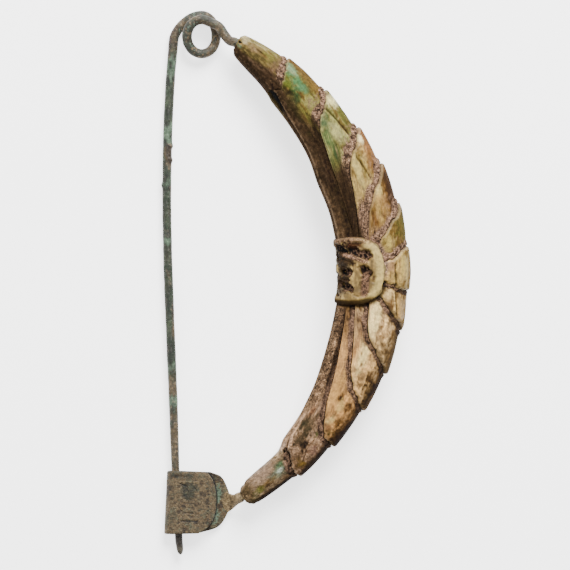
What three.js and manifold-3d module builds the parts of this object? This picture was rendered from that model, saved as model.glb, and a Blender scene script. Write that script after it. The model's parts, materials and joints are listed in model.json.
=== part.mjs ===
// Bow brooch: a carved bone bow on a bronze wire with a spring coil, a pin and a folded catch plate.
// Millimetres, +Z up. The brooch is drawn about the centre of the bow's arc, with x to the bow's belly
// and y to its head, and is then laid on its side so that coil, catch and belly rest on the ground.
import * as THREE from "three";
import { mergeVertices } from "three/addons/utils/BufferGeometryUtils.js";
import Module from "manifold-3d";

const wasm = await Module();
wasm.setup();

// Bow: arc and cross-section along it
const RAD = Math.PI / 180;
const TURN = 360;
const HALF_TURN = 180;
const BOW_RADIUS = 54.9; // of the arc through the wire
const HEAD_END = 60.9; // degrees along the arc
const FOOT_END = -59.5;
const SECTION_POWER = 2.25; // 2 would be an ellipse
const STRIP_EDGE = 152; // degrees round the section at which the hollowed inner strip starts
const STRIP_HOLLOW = 0.35;
const FRONT_COLUMNS = 13;
const STRIP_COLUMNS = 3;
// Stations: degrees along the arc, inner side, keel side, depth over width
const STATIONS = [
  [60.9, -1.9, 1.5, 1],
  [60.3, -2.7, 2.05, 1],
  [57, -3.75, 2.4, 0.98],
  [52, -4.65, 2.7, 0.95],
  [49.5, -5.1, 2.85, 0.93],
  [46, -5.9, 3.2, 0.9],
  [41, -6.35, 3.55, 0.86],
  [31, -6.95, 4.4, 0.83],
  [22.5, -7.75, 5.65, 0.8],
  [14, -7.4, 6.6, 0.79],
  [7, -7.25, 7.25, 0.79],
  [0, -7.05, 7.65, 0.79],
  [-6, -7.0, 7.3, 0.79],
  [-12, -7.05, 6.95, 0.79],
  [-20.5, -6.8, 6.35, 0.8],
  [-29.5, -5.9, 5.2, 0.83],
  [-38.5, -4.95, 4.0, 0.87],
  [-44, -4.4, 3.4, 0.92],
  [-47.5, -3.25, 2.95, 0.97],
  [-53, -3.0, 2.75, 1],
  [-57, -2.6, 2.7, 1],
  [-58.6, -1.9, 2.4, 1],
  [-59.5, -1.35, 1.5, 1],
];

// Free edges of the scales and the band: height of the step, rows to the next edge, and the edge's line
// as share of the width (1 at the keel) and degrees along the arc
const EDGE_STEP = 0.28; // degrees between the top and the foot of a free edge
const BAND_LIFT = 0.5;
const HEAD_EDGES = [
  {
    lift: 0.7,
    rows: 6,
    line: [[1, 50.3], [0.83, 49.3], [0.5, 47.6], [0.34, 46.8], [0.2, 47.6], [0.06, 49.3]],
  },
  {
    lift: 0.8,
    rows: 6,
    line: [[1, 39.9], [0.8, 37.5], [0.6, 36.1], [0.45, 34], [0.37, 30.5], [0.3, 23], [0.27, 7.5]],
  },
  {
    lift: 1.15,
    rows: 6,
    line: [[1, 30.2], [0.88, 28], [0.7, 25.7], [0.58, 23.8], [0.5, 20.6], [0.4, 13], [0.34, 6.5]],
  },
  {
    lift: 1.0,
    rows: 5,
    line: [[1, 21.6], [0.87, 18.8], [0.67, 15.3], [0.56, 12.1], [0.52, 10], [0.46, 5.3]],
  },
  {
    lift: 1.0,
    rows: 4,
    line: [[1, 13.3], [0.95, 11.3], [0.85, 9.9], [0.71, 7.7], [0.55, 4.3]],
  },
  {
    lift: BAND_LIFT,
    rows: 4,
    line: [[1, 4.9], [0.93, 4], [0.83, 2.9], [0.75, 2.2], [0.66, 1.8]],
  },
];
const FOOT_EDGES = [
  {
    lift: BAND_LIFT,
    rows: 4,
    line: [[1, -3.9], [0.9, -3.5], [0.75, -2.7], [0.64, -2.2]],
  },
  {
    lift: 0.8,
    rows: 4,
    line: [[1, -11.6], [0.98, -10.5], [0.83, -8.6], [0.7, -6.5], [0.57, -4.9]],
  },
  {
    lift: 0.8,
    rows: 5,
    line: [[1, -20.5], [0.87, -18.6], [0.67, -15.8], [0.55, -13.4], [0.5, -11], [0.47, -6.8]],
  },
  {
    lift: 0.85,
    rows: 6,
    line: [[1, -29.1], [0.85, -27.6], [0.64, -25.4], [0.5, -22.6], [0.35, -14.3], [0.28, -7.8]],
  },
  {
    lift: 1.0,
    rows: 6,
    line: [[1, -38.1], [0.77, -37.8], [0.54, -35.2], [0.36, -30.5], [0.22, -19], [0.15, -8.8]],
  },
  {
    lift: 1.0,
    rows: 6,
    line: [[1, -47.4], [0.8, -47.4], [0.6, -46.8], [0.3, -45.2], [0.18, -45.1], [0.05, -46.3]],
  },
];
const SLEEVE_ROWS = 5;
const RELIEF_START = 0.03; // share of the width, from the inner side, where the steps begin
const RELIEF_FULL = 0.4;

// Boss on the inner side of the front and back
const BOSS_MIDDLE = -0.5; // degrees along the arc
const BOSS_HALF = 8.2;
const BOSS_REACH = 0.64; // share of the bow's width
const BOSS_ROUND = 3;
const BOSS_RISE = 1.05;
const BOSS_BORDER = 0.45; // rise at its very edge
const BOSS_FIELD = 0.5; // rise of the sunken field
const BOSS_ROWS = 18;
const BOSS_COLUMNS = 32;
const BOSS_UNDER = 6; // sides of its hidden face inside the bow

// Bronze wire
const WIRE = 1.0; // radius
const TOUCH_GAP = 0.3; // between pieces that touch
const WIRE_SIDES = 12;
const SOCKET_DEPTH = 7;
const HEAD_SOCKET = WIRE + TOUCH_GAP;
const FOOT_TANG = 0.75;
const FOOT_SOCKET = FOOT_TANG + TOUCH_GAP;
const COIL_FROM_MOUTH = new THREE.Vector2(-7.53, 1.5); // coil's middle from the hole in the bow's head
const STRAND = [
  new THREE.Vector2(-1.73, 0.7), // strand between bow and coil, from the same hole
  new THREE.Vector2(-3.08, 2.45),
  new THREE.Vector2(-4.08, 3.7),
];
const COIL_WIDE = 3.05;
const COIL_TALL = 3.55;
const COIL_START = 62; // degrees round the coil where the head strand joins it
const COIL_SPLIT = 402; // where the sprung part starts
const COIL_LEAVE = 540; // where the pin leaves it
const COIL_DROP = 2 * WIRE + TOUCH_GAP;
const LEAVE_WIDE = 5.75;
const LEAVE_TALL = 4.55;

// Pin between coil and catch: share of the way, bend to the left, radius
const PIN_RADIUS_CATCH = 0.85;
const PIN_TOP = new THREE.Vector2(-6.55, -8.25); // from the coil's middle
const PIN_FOOT = new THREE.Vector2(-14.2, 5.2); // from the hole in the bow's foot
const PIN_RUN = [
  [0, 0, 0.97],
  [0.13, -0.68, 0.97],
  [0.29, -1.08, 0.95],
  [0.46, -1.06, 0.95],
  [0.66, -0.67, 0.95],
  [0.83, -0.28, 0.92],
  [1, 0, PIN_RADIUS_CATCH],
];
// Pin's point: from the hole in the bow's foot, radius
const PIN_TIP = [
  [-13.6, -7.8, 0.8],
  [-13.3, -11.0, 0.7],
  [-13.2, -12.0, 0.5],
  [-13.15, -12.4, 0.2],
];
const PIN_CATCH_Z = -1.0;

// Catch plate, folded round the pin, drawn from the hole in the bow's foot
const PLATE = 0.6;
const SLOT = PIN_RADIUS_CATCH + TOUCH_GAP;
const FOLD_TOP = new THREE.Vector2(-16.0, 5.2);
const FOLD_BOTTOM = new THREE.Vector2(-16.6, -8.05);
const FOLD_SIDES = 12;
const NECK_SIDES = 16;

// Rest: flat ground where the belly touches
const BELLY_FLAT = 0.15;

const smooth = (x) => {
  const t = Math.min(1, Math.max(0, x));
  return t * t * (3 - 2 * t);
};

// Values of the table's columns at x, by a monotone cubic through its rows
function along(table, x, column) {
  let i = 0;
  while (i < table.length - 2 && x < table[i + 1][0]) i++;
  const slope = (k) => {
    if (k < 0 || k > table.length - 2) return null;
    return (table[k + 1][column] - table[k][column]) / (table[k + 1][0] - table[k][0]);
  };
  const here = slope(i);
  const tangent = (a, b) => {
    if (a === null) return b;
    if (b === null) return a;
    return a * b <= 0 ? 0 : (2 * a * b) / (a + b);
  };
  const m0 = tangent(slope(i - 1), here);
  const m1 = tangent(here, slope(i + 1));
  const width = table[i + 1][0] - table[i][0];
  const t = Math.min(1, Math.max(0, (x - table[i][0]) / width));
  const a = table[i][column];
  const b = table[i + 1][column];
  return (
    a * (1 + 2 * t) * (1 - t) ** 2 +
    b * t * t * (3 - 2 * t) +
    m0 * width * t * (1 - t) ** 2 -
    m1 * width * t * t * (1 - t)
  );
}

// A closed body through rings of points, with a fan at each end
function loft(rings) {
  const count = rings[0].length;
  const points = rings.flat();
  const faces = [];
  const middle = (ring) => ring.reduce((sum, p) => sum.add(p), new THREE.Vector3()).divideScalar(count);
  const first = points.length;
  points.push(middle(rings[0]), middle(rings[rings.length - 1]));
  for (let r = 0; r < rings.length - 1; r++) {
    for (let i = 0; i < count; i++) {
      const a = r * count + i;
      const b = r * count + ((i + 1) % count);
      const c = a + count;
      const d = b + count;
      if (points[a].distanceTo(points[d]) < points[b].distanceTo(points[c])) {
        faces.push(a, b, d, a, d, c);
      } else {
        faces.push(a, b, c, b, d, c);
      }
    }
  }
  const last = (rings.length - 1) * count;
  for (let i = 0; i < count; i++) {
    const j = (i + 1) % count;
    faces.push(first, j, i, first + 1, last + i, last + j);
  }
  const geometry = new THREE.BufferGeometry();
  const flat = points.flatMap((p) => [p.x, p.y, p.z]);
  geometry.setAttribute("position", new THREE.Float32BufferAttribute(flat, 3));
  geometry.setIndex(faces);
  return geometry;
}

function solid(geometry) {
  const bare = geometry.clone();
  bare.deleteAttribute("normal");
  bare.deleteAttribute("uv");
  const merged = mergeVertices(bare, 1e-4);
  const made = new wasm.Manifold(
    new wasm.Mesh({
      numProp: 3,
      vertProperties: merged.attributes.position.array,
      triVerts: new Uint32Array(merged.index.array),
    }),
  );
  if (made.volume() > 0) return made;
  const turned = new Uint32Array(merged.index.array);
  for (let i = 0; i < turned.length; i += 3) [turned[i + 1], turned[i + 2]] = [turned[i + 2], turned[i + 1]];
  return new wasm.Manifold(
    new wasm.Mesh({ numProp: 3, vertProperties: merged.attributes.position.array, triVerts: turned }),
  );
}

function geometryOf(made) {
  const mesh = made.getMesh();
  const geometry = new THREE.BufferGeometry();
  geometry.setAttribute("position", new THREE.BufferAttribute(new Float32Array(mesh.vertProperties), 3));
  geometry.setIndex(new THREE.BufferAttribute(new Uint32Array(mesh.triVerts), 1));
  return geometry;
}

// A point of the brooch at an angle along the arc and a distance out from it
function onArc(angle, out, z) {
  const a = angle * RAD;
  return new THREE.Vector3((BOW_RADIUS + out) * Math.cos(a), (BOW_RADIUS + out) * Math.sin(a), z);
}

// Bow section: place across (1 at the keel, -1 at the inner strip) and depth, for each column
const stripEdge = (angle) => {
  const sleeve = smooth((angle - 47) / 4) + smooth((-44 - angle) / 3);
  return STRIP_EDGE + (176 - STRIP_EDGE) * Math.min(1, sleeve);
};
function sectionAt(angle, turn) {
  const edge = stripEdge(angle);
  const side = turn > HALF_TURN ? -1 : 1;
  const t = turn > HALF_TURN ? TURN - turn : turn;
  const power = 2 / SECTION_POWER;
  const round = (v) => Math.sign(v) * Math.abs(v) ** power;
  const across = (v) => 1 - (2 * (1 - round(Math.cos(v * RAD)))) / (1 - round(Math.cos(edge * RAD)));
  if (t <= edge) return [across(t), side * round(Math.sin(t * RAD)), 0];
  const share = (HALF_TURN - t) / (HALF_TURN - edge);
  return [-1, side * share * round(Math.sin(edge * RAD)), 1 - share * share];
}
function bowPoint(angle, turn, lift) {
  const inner = along(STATIONS, angle, 1);
  const keel = along(STATIONS, angle, 2);
  const ratio = along(STATIONS, angle, 3);
  const half = (keel - inner) / 2;
  const [across, deep, hollow] = sectionAt(angle, turn);
  const dip = hollow * STRIP_HOLLOW * (stripEdge(angle) < 170 ? 1 : 0);
  const out = (keel + inner) / 2 + (half + lift) * across + dip;
  return onArc(angle, out, (half * ratio + lift) * deep);
}
const widthShare = (angle, turn) => (1 + sectionAt(angle, turn)[0]) / 2;

// Where a free edge crosses a place across the bow
const edgeAngle = (edge, share) => along(edge.line, share, 1);
function liftAt(share, t, full) {
  const across = smooth((share - RELIEF_START) / (RELIEF_FULL - RELIEF_START)) * (0.7 + 0.3 * share);
  return full * across * t;
}

// The turns round the section at which the bow has its columns
function columnTurns() {
  const turns = [];
  for (let i = 0; i <= FRONT_COLUMNS; i++) turns.push((STRIP_EDGE * i) / FRONT_COLUMNS);
  for (let i = 1; i < STRIP_COLUMNS; i++) {
    turns.push(STRIP_EDGE + ((TURN - 2 * STRIP_EDGE) * i) / STRIP_COLUMNS);
  }
  for (let i = FRONT_COLUMNS; i > 0; i--) turns.push(TURN - (STRIP_EDGE * i) / FRONT_COLUMNS);
  return turns;
}

function bowBody() {
  const columns = columnTurns().map((turn) => {
    const points = [];
    const share = widthShare(0, turn);
    const put = (angle, t, full) => points.push(bowPoint(angle, turn, liftAt(share, t, full)));
    const run = (from, to, rows, lift, full, skip) => {
      for (let i = skip ? 1 : 0; i <= rows; i++) {
        const t = i / rows;
        put(from + (to - from) * t, lift(t), full);
      }
    };
    // Head end and plain sleeve
    put(HEAD_END, 0, 0);
    run(HEAD_END - 0.6, edgeAngle(HEAD_EDGES[0], share) + EDGE_STEP, SLEEVE_ROWS, () => 0, 0);
    // Scales from the head to the band: highest at the edge that faces the head
    for (let k = 0; k < HEAD_EDGES.length - 1; k++) {
      const from = edgeAngle(HEAD_EDGES[k], share);
      const to = edgeAngle(HEAD_EDGES[k + 1], share) + EDGE_STEP;
      const bevel = Math.min(0.6, (from - to) * 0.15);
      put(from, 0.82, HEAD_EDGES[k].lift);
      run(from - bevel, to, HEAD_EDGES[k].rows, (t) => 1 - t, HEAD_EDGES[k].lift);
    }
    // Keel band
    const top = edgeAngle(HEAD_EDGES[HEAD_EDGES.length - 1], share);
    const bottom = edgeAngle(FOOT_EDGES[0], share);
    const rim = Math.min(0.5, (top - bottom) * 0.15);
    put(top, 0.7, FOOT_EDGES[0].lift);
    run(top - rim, bottom + rim, FOOT_EDGES[0].rows, () => 1, FOOT_EDGES[0].lift);
    put(bottom, 0.7, FOOT_EDGES[0].lift);
    // Scales from the band to the foot: highest at the edge that faces the foot
    for (let k = 1; k < FOOT_EDGES.length; k++) {
      const from = edgeAngle(FOOT_EDGES[k - 1], share) - EDGE_STEP;
      const to = edgeAngle(FOOT_EDGES[k], share);
      const bevel = Math.min(0.6, (from - to) * 0.15);
      run(from, to + bevel, FOOT_EDGES[k].rows, (t) => t, FOOT_EDGES[k].lift);
      put(to, 0.82, FOOT_EDGES[k].lift);
    }
    // Foot sleeve and its rounded end
    run(edgeAngle(FOOT_EDGES[FOOT_EDGES.length - 1], share) - EDGE_STEP, -57.2, SLEEVE_ROWS, () => 0, 0);
    put(-58.6, 0, 0);
    put(FOOT_END, 0, 0);
    return points;
  });
  const rows = columns[0].map((_, r) => columns.map((column) => column[r]));
  return solid(loft(rows));
}

// Boss: a rounded tongue that wraps the inner side, with a raised rim and a bar on a sunken field
function bossRise(up, share, reach) {
  const edge = Math.max(Math.abs(up) ** BOSS_ROUND + (share / BOSS_REACH) ** BOSS_ROUND, 0);
  if (reach < 0.001 || edge > 0.97) return BOSS_BORDER;
  const rim = smooth((edge - 0.34) / 0.16) * smooth(share / 0.12);
  const bar = smooth((0.06 - Math.abs(share - 0.27)) / 0.04) * smooth((0.3 - Math.abs(up + 0.38)) / 0.12);
  const ridge = smooth((0.2 - Math.abs(up - 0.42 + share * 0.35)) / 0.1);
  const field = Math.max(rim, bar, ridge * 0.8);
  return BOSS_FIELD + (BOSS_RISE - BOSS_FIELD) * field;
}
function boss() {
  const rings = [];
  for (let r = 0; r <= BOSS_ROWS; r++) {
    const up = 0.985 * Math.cos((Math.PI * r) / BOSS_ROWS);
    const angle = BOSS_MIDDLE + BOSS_HALF * up;
    const reach = BOSS_REACH * (1 - Math.abs(up) ** BOSS_ROUND) ** (1 / BOSS_ROUND);
    let start = HALF_TURN;
    while (start > 0 && widthShare(0, start - 1) < reach) start -= 1;
    const ring = [];
    for (let c = 0; c <= BOSS_COLUMNS; c++) {
      const turn = start + ((TURN - 2 * start) * c) / BOSS_COLUMNS;
      const share = widthShare(0, turn);
      const ends = c === 0 || c === BOSS_COLUMNS || r === 0 || r === BOSS_ROWS;
      ring.push(bowPoint(angle, turn, ends ? BOSS_BORDER : bossRise(up, share, reach - share)));
    }
    for (let c = BOSS_UNDER - 1; c >= 1; c--) {
      const turn = start + ((TURN - 2 * start) * c) / BOSS_UNDER;
      const under = bowPoint(angle, turn, 0);
      ring.push(under.lerp(onArc(angle, 0, 0), 0.45));
    }
    rings.push(ring);
  }
  return solid(loft(rings));
}

// Round bar between two points, for the sockets
function bar(from, to, radius) {
  const way = to.clone().sub(from);
  const geometry = new THREE.CylinderGeometry(radius, radius, way.length(), 20);
  const turn = new THREE.Quaternion().setFromUnitVectors(new THREE.Vector3(0, 1, 0), way.normalize());
  geometry.applyQuaternion(turn);
  const middle = from.clone().add(to).multiplyScalar(0.5);
  geometry.translate(middle.x, middle.y, middle.z);
  return solid(geometry);
}

const headMouth = onArc(HEAD_END, -0.25, 0);
const headWay = new THREE.Vector3(-Math.sin(HEAD_END * RAD), Math.cos(HEAD_END * RAD), 0);
const footMouth = onArc(FOOT_END, -0.1, 0);
const footWay = new THREE.Vector3(Math.sin(FOOT_END * RAD), -Math.cos(FOOT_END * RAD), 0);
const step = (from, way, length) => from.clone().addScaledVector(way, length);
const fromPlane = (base, offset, z) => new THREE.Vector3(base.x + offset.x, base.y + offset.y, z);
const fromFoot = (x, y, z) => new THREE.Vector3(footMouth.x + x, footMouth.y + y, z);
const coilMiddle = fromPlane(headMouth, COIL_FROM_MOUTH, 0);

// Wire: rings of a given radius along points, kept square to the run
function wire(points, radii, sides = WIRE_SIDES) {
  const up = new THREE.Vector3(0, 0, 1);
  const rings = points.map((p, i) => {
    const before = points[Math.max(0, i - 1)];
    const after = points[Math.min(points.length - 1, i + 1)];
    const way = after.clone().sub(before).normalize();
    const side = new THREE.Vector3().crossVectors(way, up).normalize();
    const top = new THREE.Vector3().crossVectors(side, way);
    const ring = [];
    for (let k = 0; k < sides; k++) {
      const a = (2 * Math.PI * k) / sides;
      ring.push(
        p.clone().addScaledVector(side, radii[i] * Math.cos(a)).addScaledVector(top, radii[i] * Math.sin(a)),
      );
    }
    return ring;
  });
  return loft(rings);
}

// A point of the coil, which widens into the pin after one whole turn
function coilPoint(angle) {
  const past = Math.max(0, (angle - TURN) / (COIL_LEAVE - TURN));
  const wide = COIL_WIDE + (LEAVE_WIDE - COIL_WIDE) * past ** 1.6;
  const tall = COIL_TALL + (LEAVE_TALL - COIL_TALL) * Math.sin(Math.min(1, past * 1.8) * 90 * RAD);
  const drop = smooth((angle - 100) / 260);
  return new THREE.Vector3(
    coilMiddle.x + wide * Math.cos(angle * RAD),
    coilMiddle.y + tall * Math.sin(angle * RAD),
    -COIL_DROP * drop,
  );
}

function headWire() {
  const joins = coilPoint(COIL_START);
  const strand = new THREE.CatmullRomCurve3([
    step(headMouth, headWay, -SOCKET_DEPTH + TOUCH_GAP),
    step(headMouth, headWay, -2),
    step(headMouth, headWay, 0.6),
    ...STRAND.map((offset) => fromPlane(headMouth, offset, 0)),
    joins,
  ]);
  const points = strand.getPoints(20).slice(0, -1);
  for (let a = COIL_START; a <= COIL_SPLIT; a += 10) points.push(coilPoint(a));
  return solid(wire(points, points.map(() => WIRE)));
}

const pinTop = fromPlane(coilMiddle, PIN_TOP, -COIL_DROP);
const pinFoot = fromPlane(footMouth, PIN_FOOT, PIN_CATCH_Z);
function sprungPin() {
  const gapTurn = (TOUCH_GAP / COIL_WIDE / RAD) * 0.8;
  const points = [];
  const radii = [];
  for (let a = COIL_SPLIT + gapTurn; a < COIL_LEAVE + 8; a += 9) {
    points.push(coilPoint(a));
    radii.push(WIRE);
  }
  const knots = PIN_RUN.map(([share, bend, radius]) => {
    const p = pinTop.clone().lerp(pinFoot, share);
    return new THREE.Vector3(p.x + bend, p.y, radius);
  });
  for (const [x, y, radius] of PIN_TIP) knots.push(fromFoot(x, y, radius));
  const height = (y) => {
    const share = (pinTop.y - y) / (pinTop.y - pinFoot.y);
    return pinTop.z + (pinFoot.z - pinTop.z) * Math.max(0, share);
  };
  for (const p of new THREE.CatmullRomCurve3(knots, false, "centripetal").getPoints(34)) {
    points.push(new THREE.Vector3(p.x, p.y, height(p.y)));
    radii.push(Math.max(0.15, p.z));
  }
  return solid(wire(points, radii));
}

// Catch plate outlines, seen from the front
function backOutline() {
  const s = new THREE.Shape();
  s.moveTo(FOLD_TOP.x + PLATE + SLOT, FOLD_TOP.y);
  s.lineTo(-6.9, 4.9);
  s.bezierCurveTo(-5.0, 4.3, -3.9, 3.0, -3.3, 1.5);
  s.lineTo(-2.8, 0.4);
  s.lineTo(-2.6, -2.9);
  s.bezierCurveTo(-4.1, -5.2, -5.2, -7.0, -9.1, -7.9);
  s.lineTo(FOLD_BOTTOM.x + PLATE + SLOT, FOLD_BOTTOM.y - 0.1);
  s.closePath();
  return s;
}
function flapOutline() {
  const s = new THREE.Shape();
  s.moveTo(FOLD_TOP.x + PLATE + SLOT, FOLD_TOP.y);
  s.lineTo(-7.4, 4.9);
  s.bezierCurveTo(-6.2, 3.6, -5.65, 0.9, -5.65, -1.0);
  s.bezierCurveTo(-5.65, -4.0, -6.7, -6.5, -9.4, -7.9);
  s.lineTo(-12.6, -8.3);
  s.lineTo(FOLD_BOTTOM.x + PLATE + SLOT, FOLD_BOTTOM.y);
  s.closePath();
  return s;
}
function sheet(shape, z) {
  const geometry = new THREE.ExtrudeGeometry(shape, { depth: PLATE, bevelEnabled: false, curveSegments: 8 });
  geometry.translate(footMouth.x, footMouth.y, z);
  return solid(geometry);
}
// Half tube round the pin along the folded edge
function fold() {
  const outer = PLATE + SLOT;
  const lap = 0.02;
  const s = new THREE.Shape();
  s.moveTo(lap, -outer);
  s.absarc(0, 0, outer, -Math.PI / 2, Math.PI / 2, true);
  s.lineTo(lap, outer);
  s.lineTo(lap, SLOT);
  s.absarc(0, 0, SLOT, Math.PI / 2, -Math.PI / 2, false);
  s.lineTo(lap, -SLOT);
  s.closePath();
  const length = FOLD_TOP.y - FOLD_BOTTOM.y;
  const run = { depth: length, bevelEnabled: false, curveSegments: FOLD_SIDES };
  const geometry = new THREE.ExtrudeGeometry(s, run);
  geometry.rotateX(Math.PI / 2);
  const lean = new THREE.Matrix4().makeShear(0, 0, (FOLD_TOP.x - FOLD_BOTTOM.x) / length, 0, 0, 0);
  geometry.applyMatrix4(lean);
  geometry.translate(footMouth.x + FOLD_TOP.x + outer, footMouth.y + FOLD_TOP.y, PIN_CATCH_Z);
  return solid(geometry);
}
// Neck from the plate up to the tang in the bow's foot: centre, half width, half thickness
function neck() {
  const plateMiddle = PIN_CATCH_Z - SLOT - PLATE / 2;
  const mouth = step(footMouth, footWay, 0.35);
  const stations = [
    [step(footMouth, footWay, -SOCKET_DEPTH + TOUCH_GAP), FOOT_TANG, FOOT_TANG],
    [step(footMouth, footWay, 0.1), FOOT_TANG, FOOT_TANG],
    [mouth, 1.05, 0.9],
    [fromFoot(-0.9, -0.45, -0.25), 1.15, 0.85],
    [fromFoot(-1.6, -0.85, -0.8), 1.15, 0.7],
    [fromFoot(-2.5, -1.15, -1.8), 1.65, 0.5],
    [fromFoot(-3.4, -1.3, plateMiddle + 0.12), 2.3, 0.4],
    [fromFoot(-4.6, -1.3, plateMiddle), 3.0, PLATE / 2 - 0.03],
    [fromFoot(-5.8, -1.3, plateMiddle), 3.4, PLATE / 2 - 0.05],
  ];
  const rings = stations.map(([centre, wide, thick], i) => {
    const before = stations[Math.max(0, i - 1)][0];
    const after = stations[Math.min(stations.length - 1, i + 1)][0];
    const way = after.clone().sub(before).normalize();
    const side = new THREE.Vector3().crossVectors(way, new THREE.Vector3(0, 0, 1)).normalize();
    const top = new THREE.Vector3().crossVectors(side, way);
    const ring = [];
    for (let k = 0; k < NECK_SIDES; k++) {
      const a = (2 * Math.PI * k) / NECK_SIDES;
      ring.push(
        centre.clone().addScaledVector(side, wide * Math.cos(a)).addScaledVector(top, thick * Math.sin(a)),
      );
    }
    return ring;
  });
  return solid(loft(rings));
}
function catchPlate() {
  const back = sheet(backOutline(), PIN_CATCH_Z - SLOT - PLATE);
  const flap = sheet(flapOutline(), PIN_CATCH_Z + SLOT);
  return back.add(flap).add(fold()).add(neck());
}

function carvedBow() {
  const whole = bowBody().add(boss());
  const head = bar(step(headMouth, headWay, -SOCKET_DEPTH), step(headMouth, headWay, 2), HEAD_SOCKET);
  const foot = bar(step(footMouth, footWay, -SOCKET_DEPTH), step(footMouth, footWay, 2), FOOT_SOCKET);
  return whole.subtract(head).subtract(foot);
}

// Lay the brooch down: turn it until wire, catch and belly have their lowest points on one level
function restMatrix(wireSide, catchSide, belly) {
  const matrix = new THREE.Matrix4();
  const lowest = (vertices, turned) => {
    let best = null;
    const p = new THREE.Vector3();
    const n = vertices.length / 3;
    for (let i = 0; i < n; i++) {
      p.fromArray(vertices, 3 * i);
      const z = p.clone().applyMatrix4(turned).z;
      if (!best || z < best.z) best = { z, at: p.clone() };
    }
    return best.at.applyMatrix4(turned);
  };
  for (let i = 0; i < 12; i++) {
    const a = lowest(wireSide, matrix);
    const b = lowest(catchSide, matrix);
    const c = lowest(belly, matrix);
    c.z += BELLY_FLAT;
    const normal = b.sub(a).cross(c.sub(a)).normalize();
    if (normal.z < 0) normal.negate();
    const turn = new THREE.Quaternion().setFromUnitVectors(normal, new THREE.Vector3(0, 0, 1));
    matrix.premultiply(new THREE.Matrix4().makeRotationFromQuaternion(turn));
  }
  const ground = lowest(wireSide, matrix).z;
  return new THREE.Matrix4().makeTranslation(0, 0, -ground).multiply(matrix);
}

const bowSolid = carvedBow();
const headSolid = headWire();
const pinSolid = sprungPin();
const catchSolid = catchPlate();
const vertices = (made) => made.getMesh().vertProperties;
const wireVertices = [...vertices(headSolid), ...vertices(pinSolid)];
const rest = restMatrix(wireVertices, vertices(catchSolid), vertices(bowSolid));

const turned = (made) => {
  const geometry = geometryOf(made);
  geometry.applyMatrix4(rest);
  return geometry;
};
const placed = new Map([
  ["bow", turned(bowSolid)],
  ["catch_plate", turned(catchSolid)],
  ["head_wire", turned(headSolid)],
  ["sprung_pin", turned(pinSolid)],
]);
const under = new THREE.BoxGeometry(4 * BOW_RADIUS, 4 * BOW_RADIUS, BOW_RADIUS);
under.translate(0, 0, -BOW_RADIUS / 2);
placed.set("bow", geometryOf(solid(placed.get("bow")).subtract(solid(under))));

// Middle of the brooch's outline at the origin
const whole = new THREE.Box3();
for (const geometry of placed.values()) {
  whole.union(new THREE.Box3().setFromBufferAttribute(geometry.attributes.position));
}
const middle = whole.getCenter(new THREE.Vector3());

const LOOKS = {
  bow: { color: 0xc9ad7b, roughness: 0.55, metalness: 0 },
  catch_plate: { color: 0x7d7563, roughness: 0.6, metalness: 0.7 },
  head_wire: { color: 0x7a6f5e, roughness: 0.6, metalness: 0.7 },
  sprung_pin: { color: 0x76725f, roughness: 0.6, metalness: 0.7 },
};
const brooch = new THREE.Group();
brooch.name = "bow_brooch";
for (const [name, geometry] of placed) {
  geometry.translate(-middle.x, -middle.y, 0);
  const flat = geometry.toNonIndexed();
  flat.computeVertexNormals();
  const mesh = new THREE.Mesh(flat, new THREE.MeshStandardMaterial(LOOKS[name]));
  mesh.name = name;
  brooch.add(mesh);
}

export default brooch;
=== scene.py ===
import json
import math

import bmesh
import bpy
import numpy as np
from mathutils import Matrix, Vector


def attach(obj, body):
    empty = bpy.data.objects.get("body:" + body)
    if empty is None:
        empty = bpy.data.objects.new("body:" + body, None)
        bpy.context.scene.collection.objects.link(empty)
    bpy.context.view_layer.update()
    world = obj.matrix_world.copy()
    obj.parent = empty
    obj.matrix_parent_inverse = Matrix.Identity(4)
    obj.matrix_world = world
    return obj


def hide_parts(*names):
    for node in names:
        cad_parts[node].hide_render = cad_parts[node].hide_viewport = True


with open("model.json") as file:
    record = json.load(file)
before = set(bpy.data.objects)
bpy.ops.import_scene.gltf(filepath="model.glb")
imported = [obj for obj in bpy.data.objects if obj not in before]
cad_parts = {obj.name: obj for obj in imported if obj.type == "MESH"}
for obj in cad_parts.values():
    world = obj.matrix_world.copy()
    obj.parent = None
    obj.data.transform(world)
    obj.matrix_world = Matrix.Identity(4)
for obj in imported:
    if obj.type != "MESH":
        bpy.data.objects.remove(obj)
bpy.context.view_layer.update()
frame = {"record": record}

# The bow: one piece of bone, carved with overlapping scales that run from both ends towards a band
# on the keel and a rounded boss on the inner side. The wire's ends sit in a hole at either end.
# It is drawn in millimetres about the centre of its arc, and then laid down as the solid is.
MM = 0.001
COIL_MIDDLE = (19.05, 49.25, -1.15)
BOW_RADIUS = 54.9
HEAD_END = 60.9
FOOT_END = -59.5
SECTION_POWER = 2.25
STRIP_EDGE = 152
STRIP_HOLLOW = 0.35
# Stations: degrees along the arc, inner side, keel side, depth over width
STATIONS = [
    (60.9, -1.9, 1.5, 1),
    (60.3, -2.7, 2.05, 1),
    (57, -3.75, 2.4, 0.98),
    (52, -4.65, 2.7, 0.95),
    (49.5, -5.1, 2.85, 0.93),
    (46, -5.9, 3.2, 0.9),
    (41, -6.35, 3.55, 0.86),
    (31, -6.95, 4.4, 0.83),
    (22.5, -7.75, 5.65, 0.8),
    (14, -7.4, 6.6, 0.79),
    (7, -7.25, 7.25, 0.79),
    (0, -7.05, 7.65, 0.79),
    (-6, -7.0, 7.3, 0.79),
    (-12, -7.05, 6.95, 0.79),
    (-20.5, -6.8, 6.35, 0.8),
    (-29.5, -5.9, 5.2, 0.83),
    (-38.5, -4.95, 4.0, 0.87),
    (-44, -4.4, 3.4, 0.92),
    (-47.5, -3.25, 2.95, 0.97),
    (-53, -3.0, 2.75, 1),
    (-57, -2.6, 2.7, 1),
    (-58.6, -1.9, 2.4, 1),
    (-59.5, -1.35, 1.5, 1),
]
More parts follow.
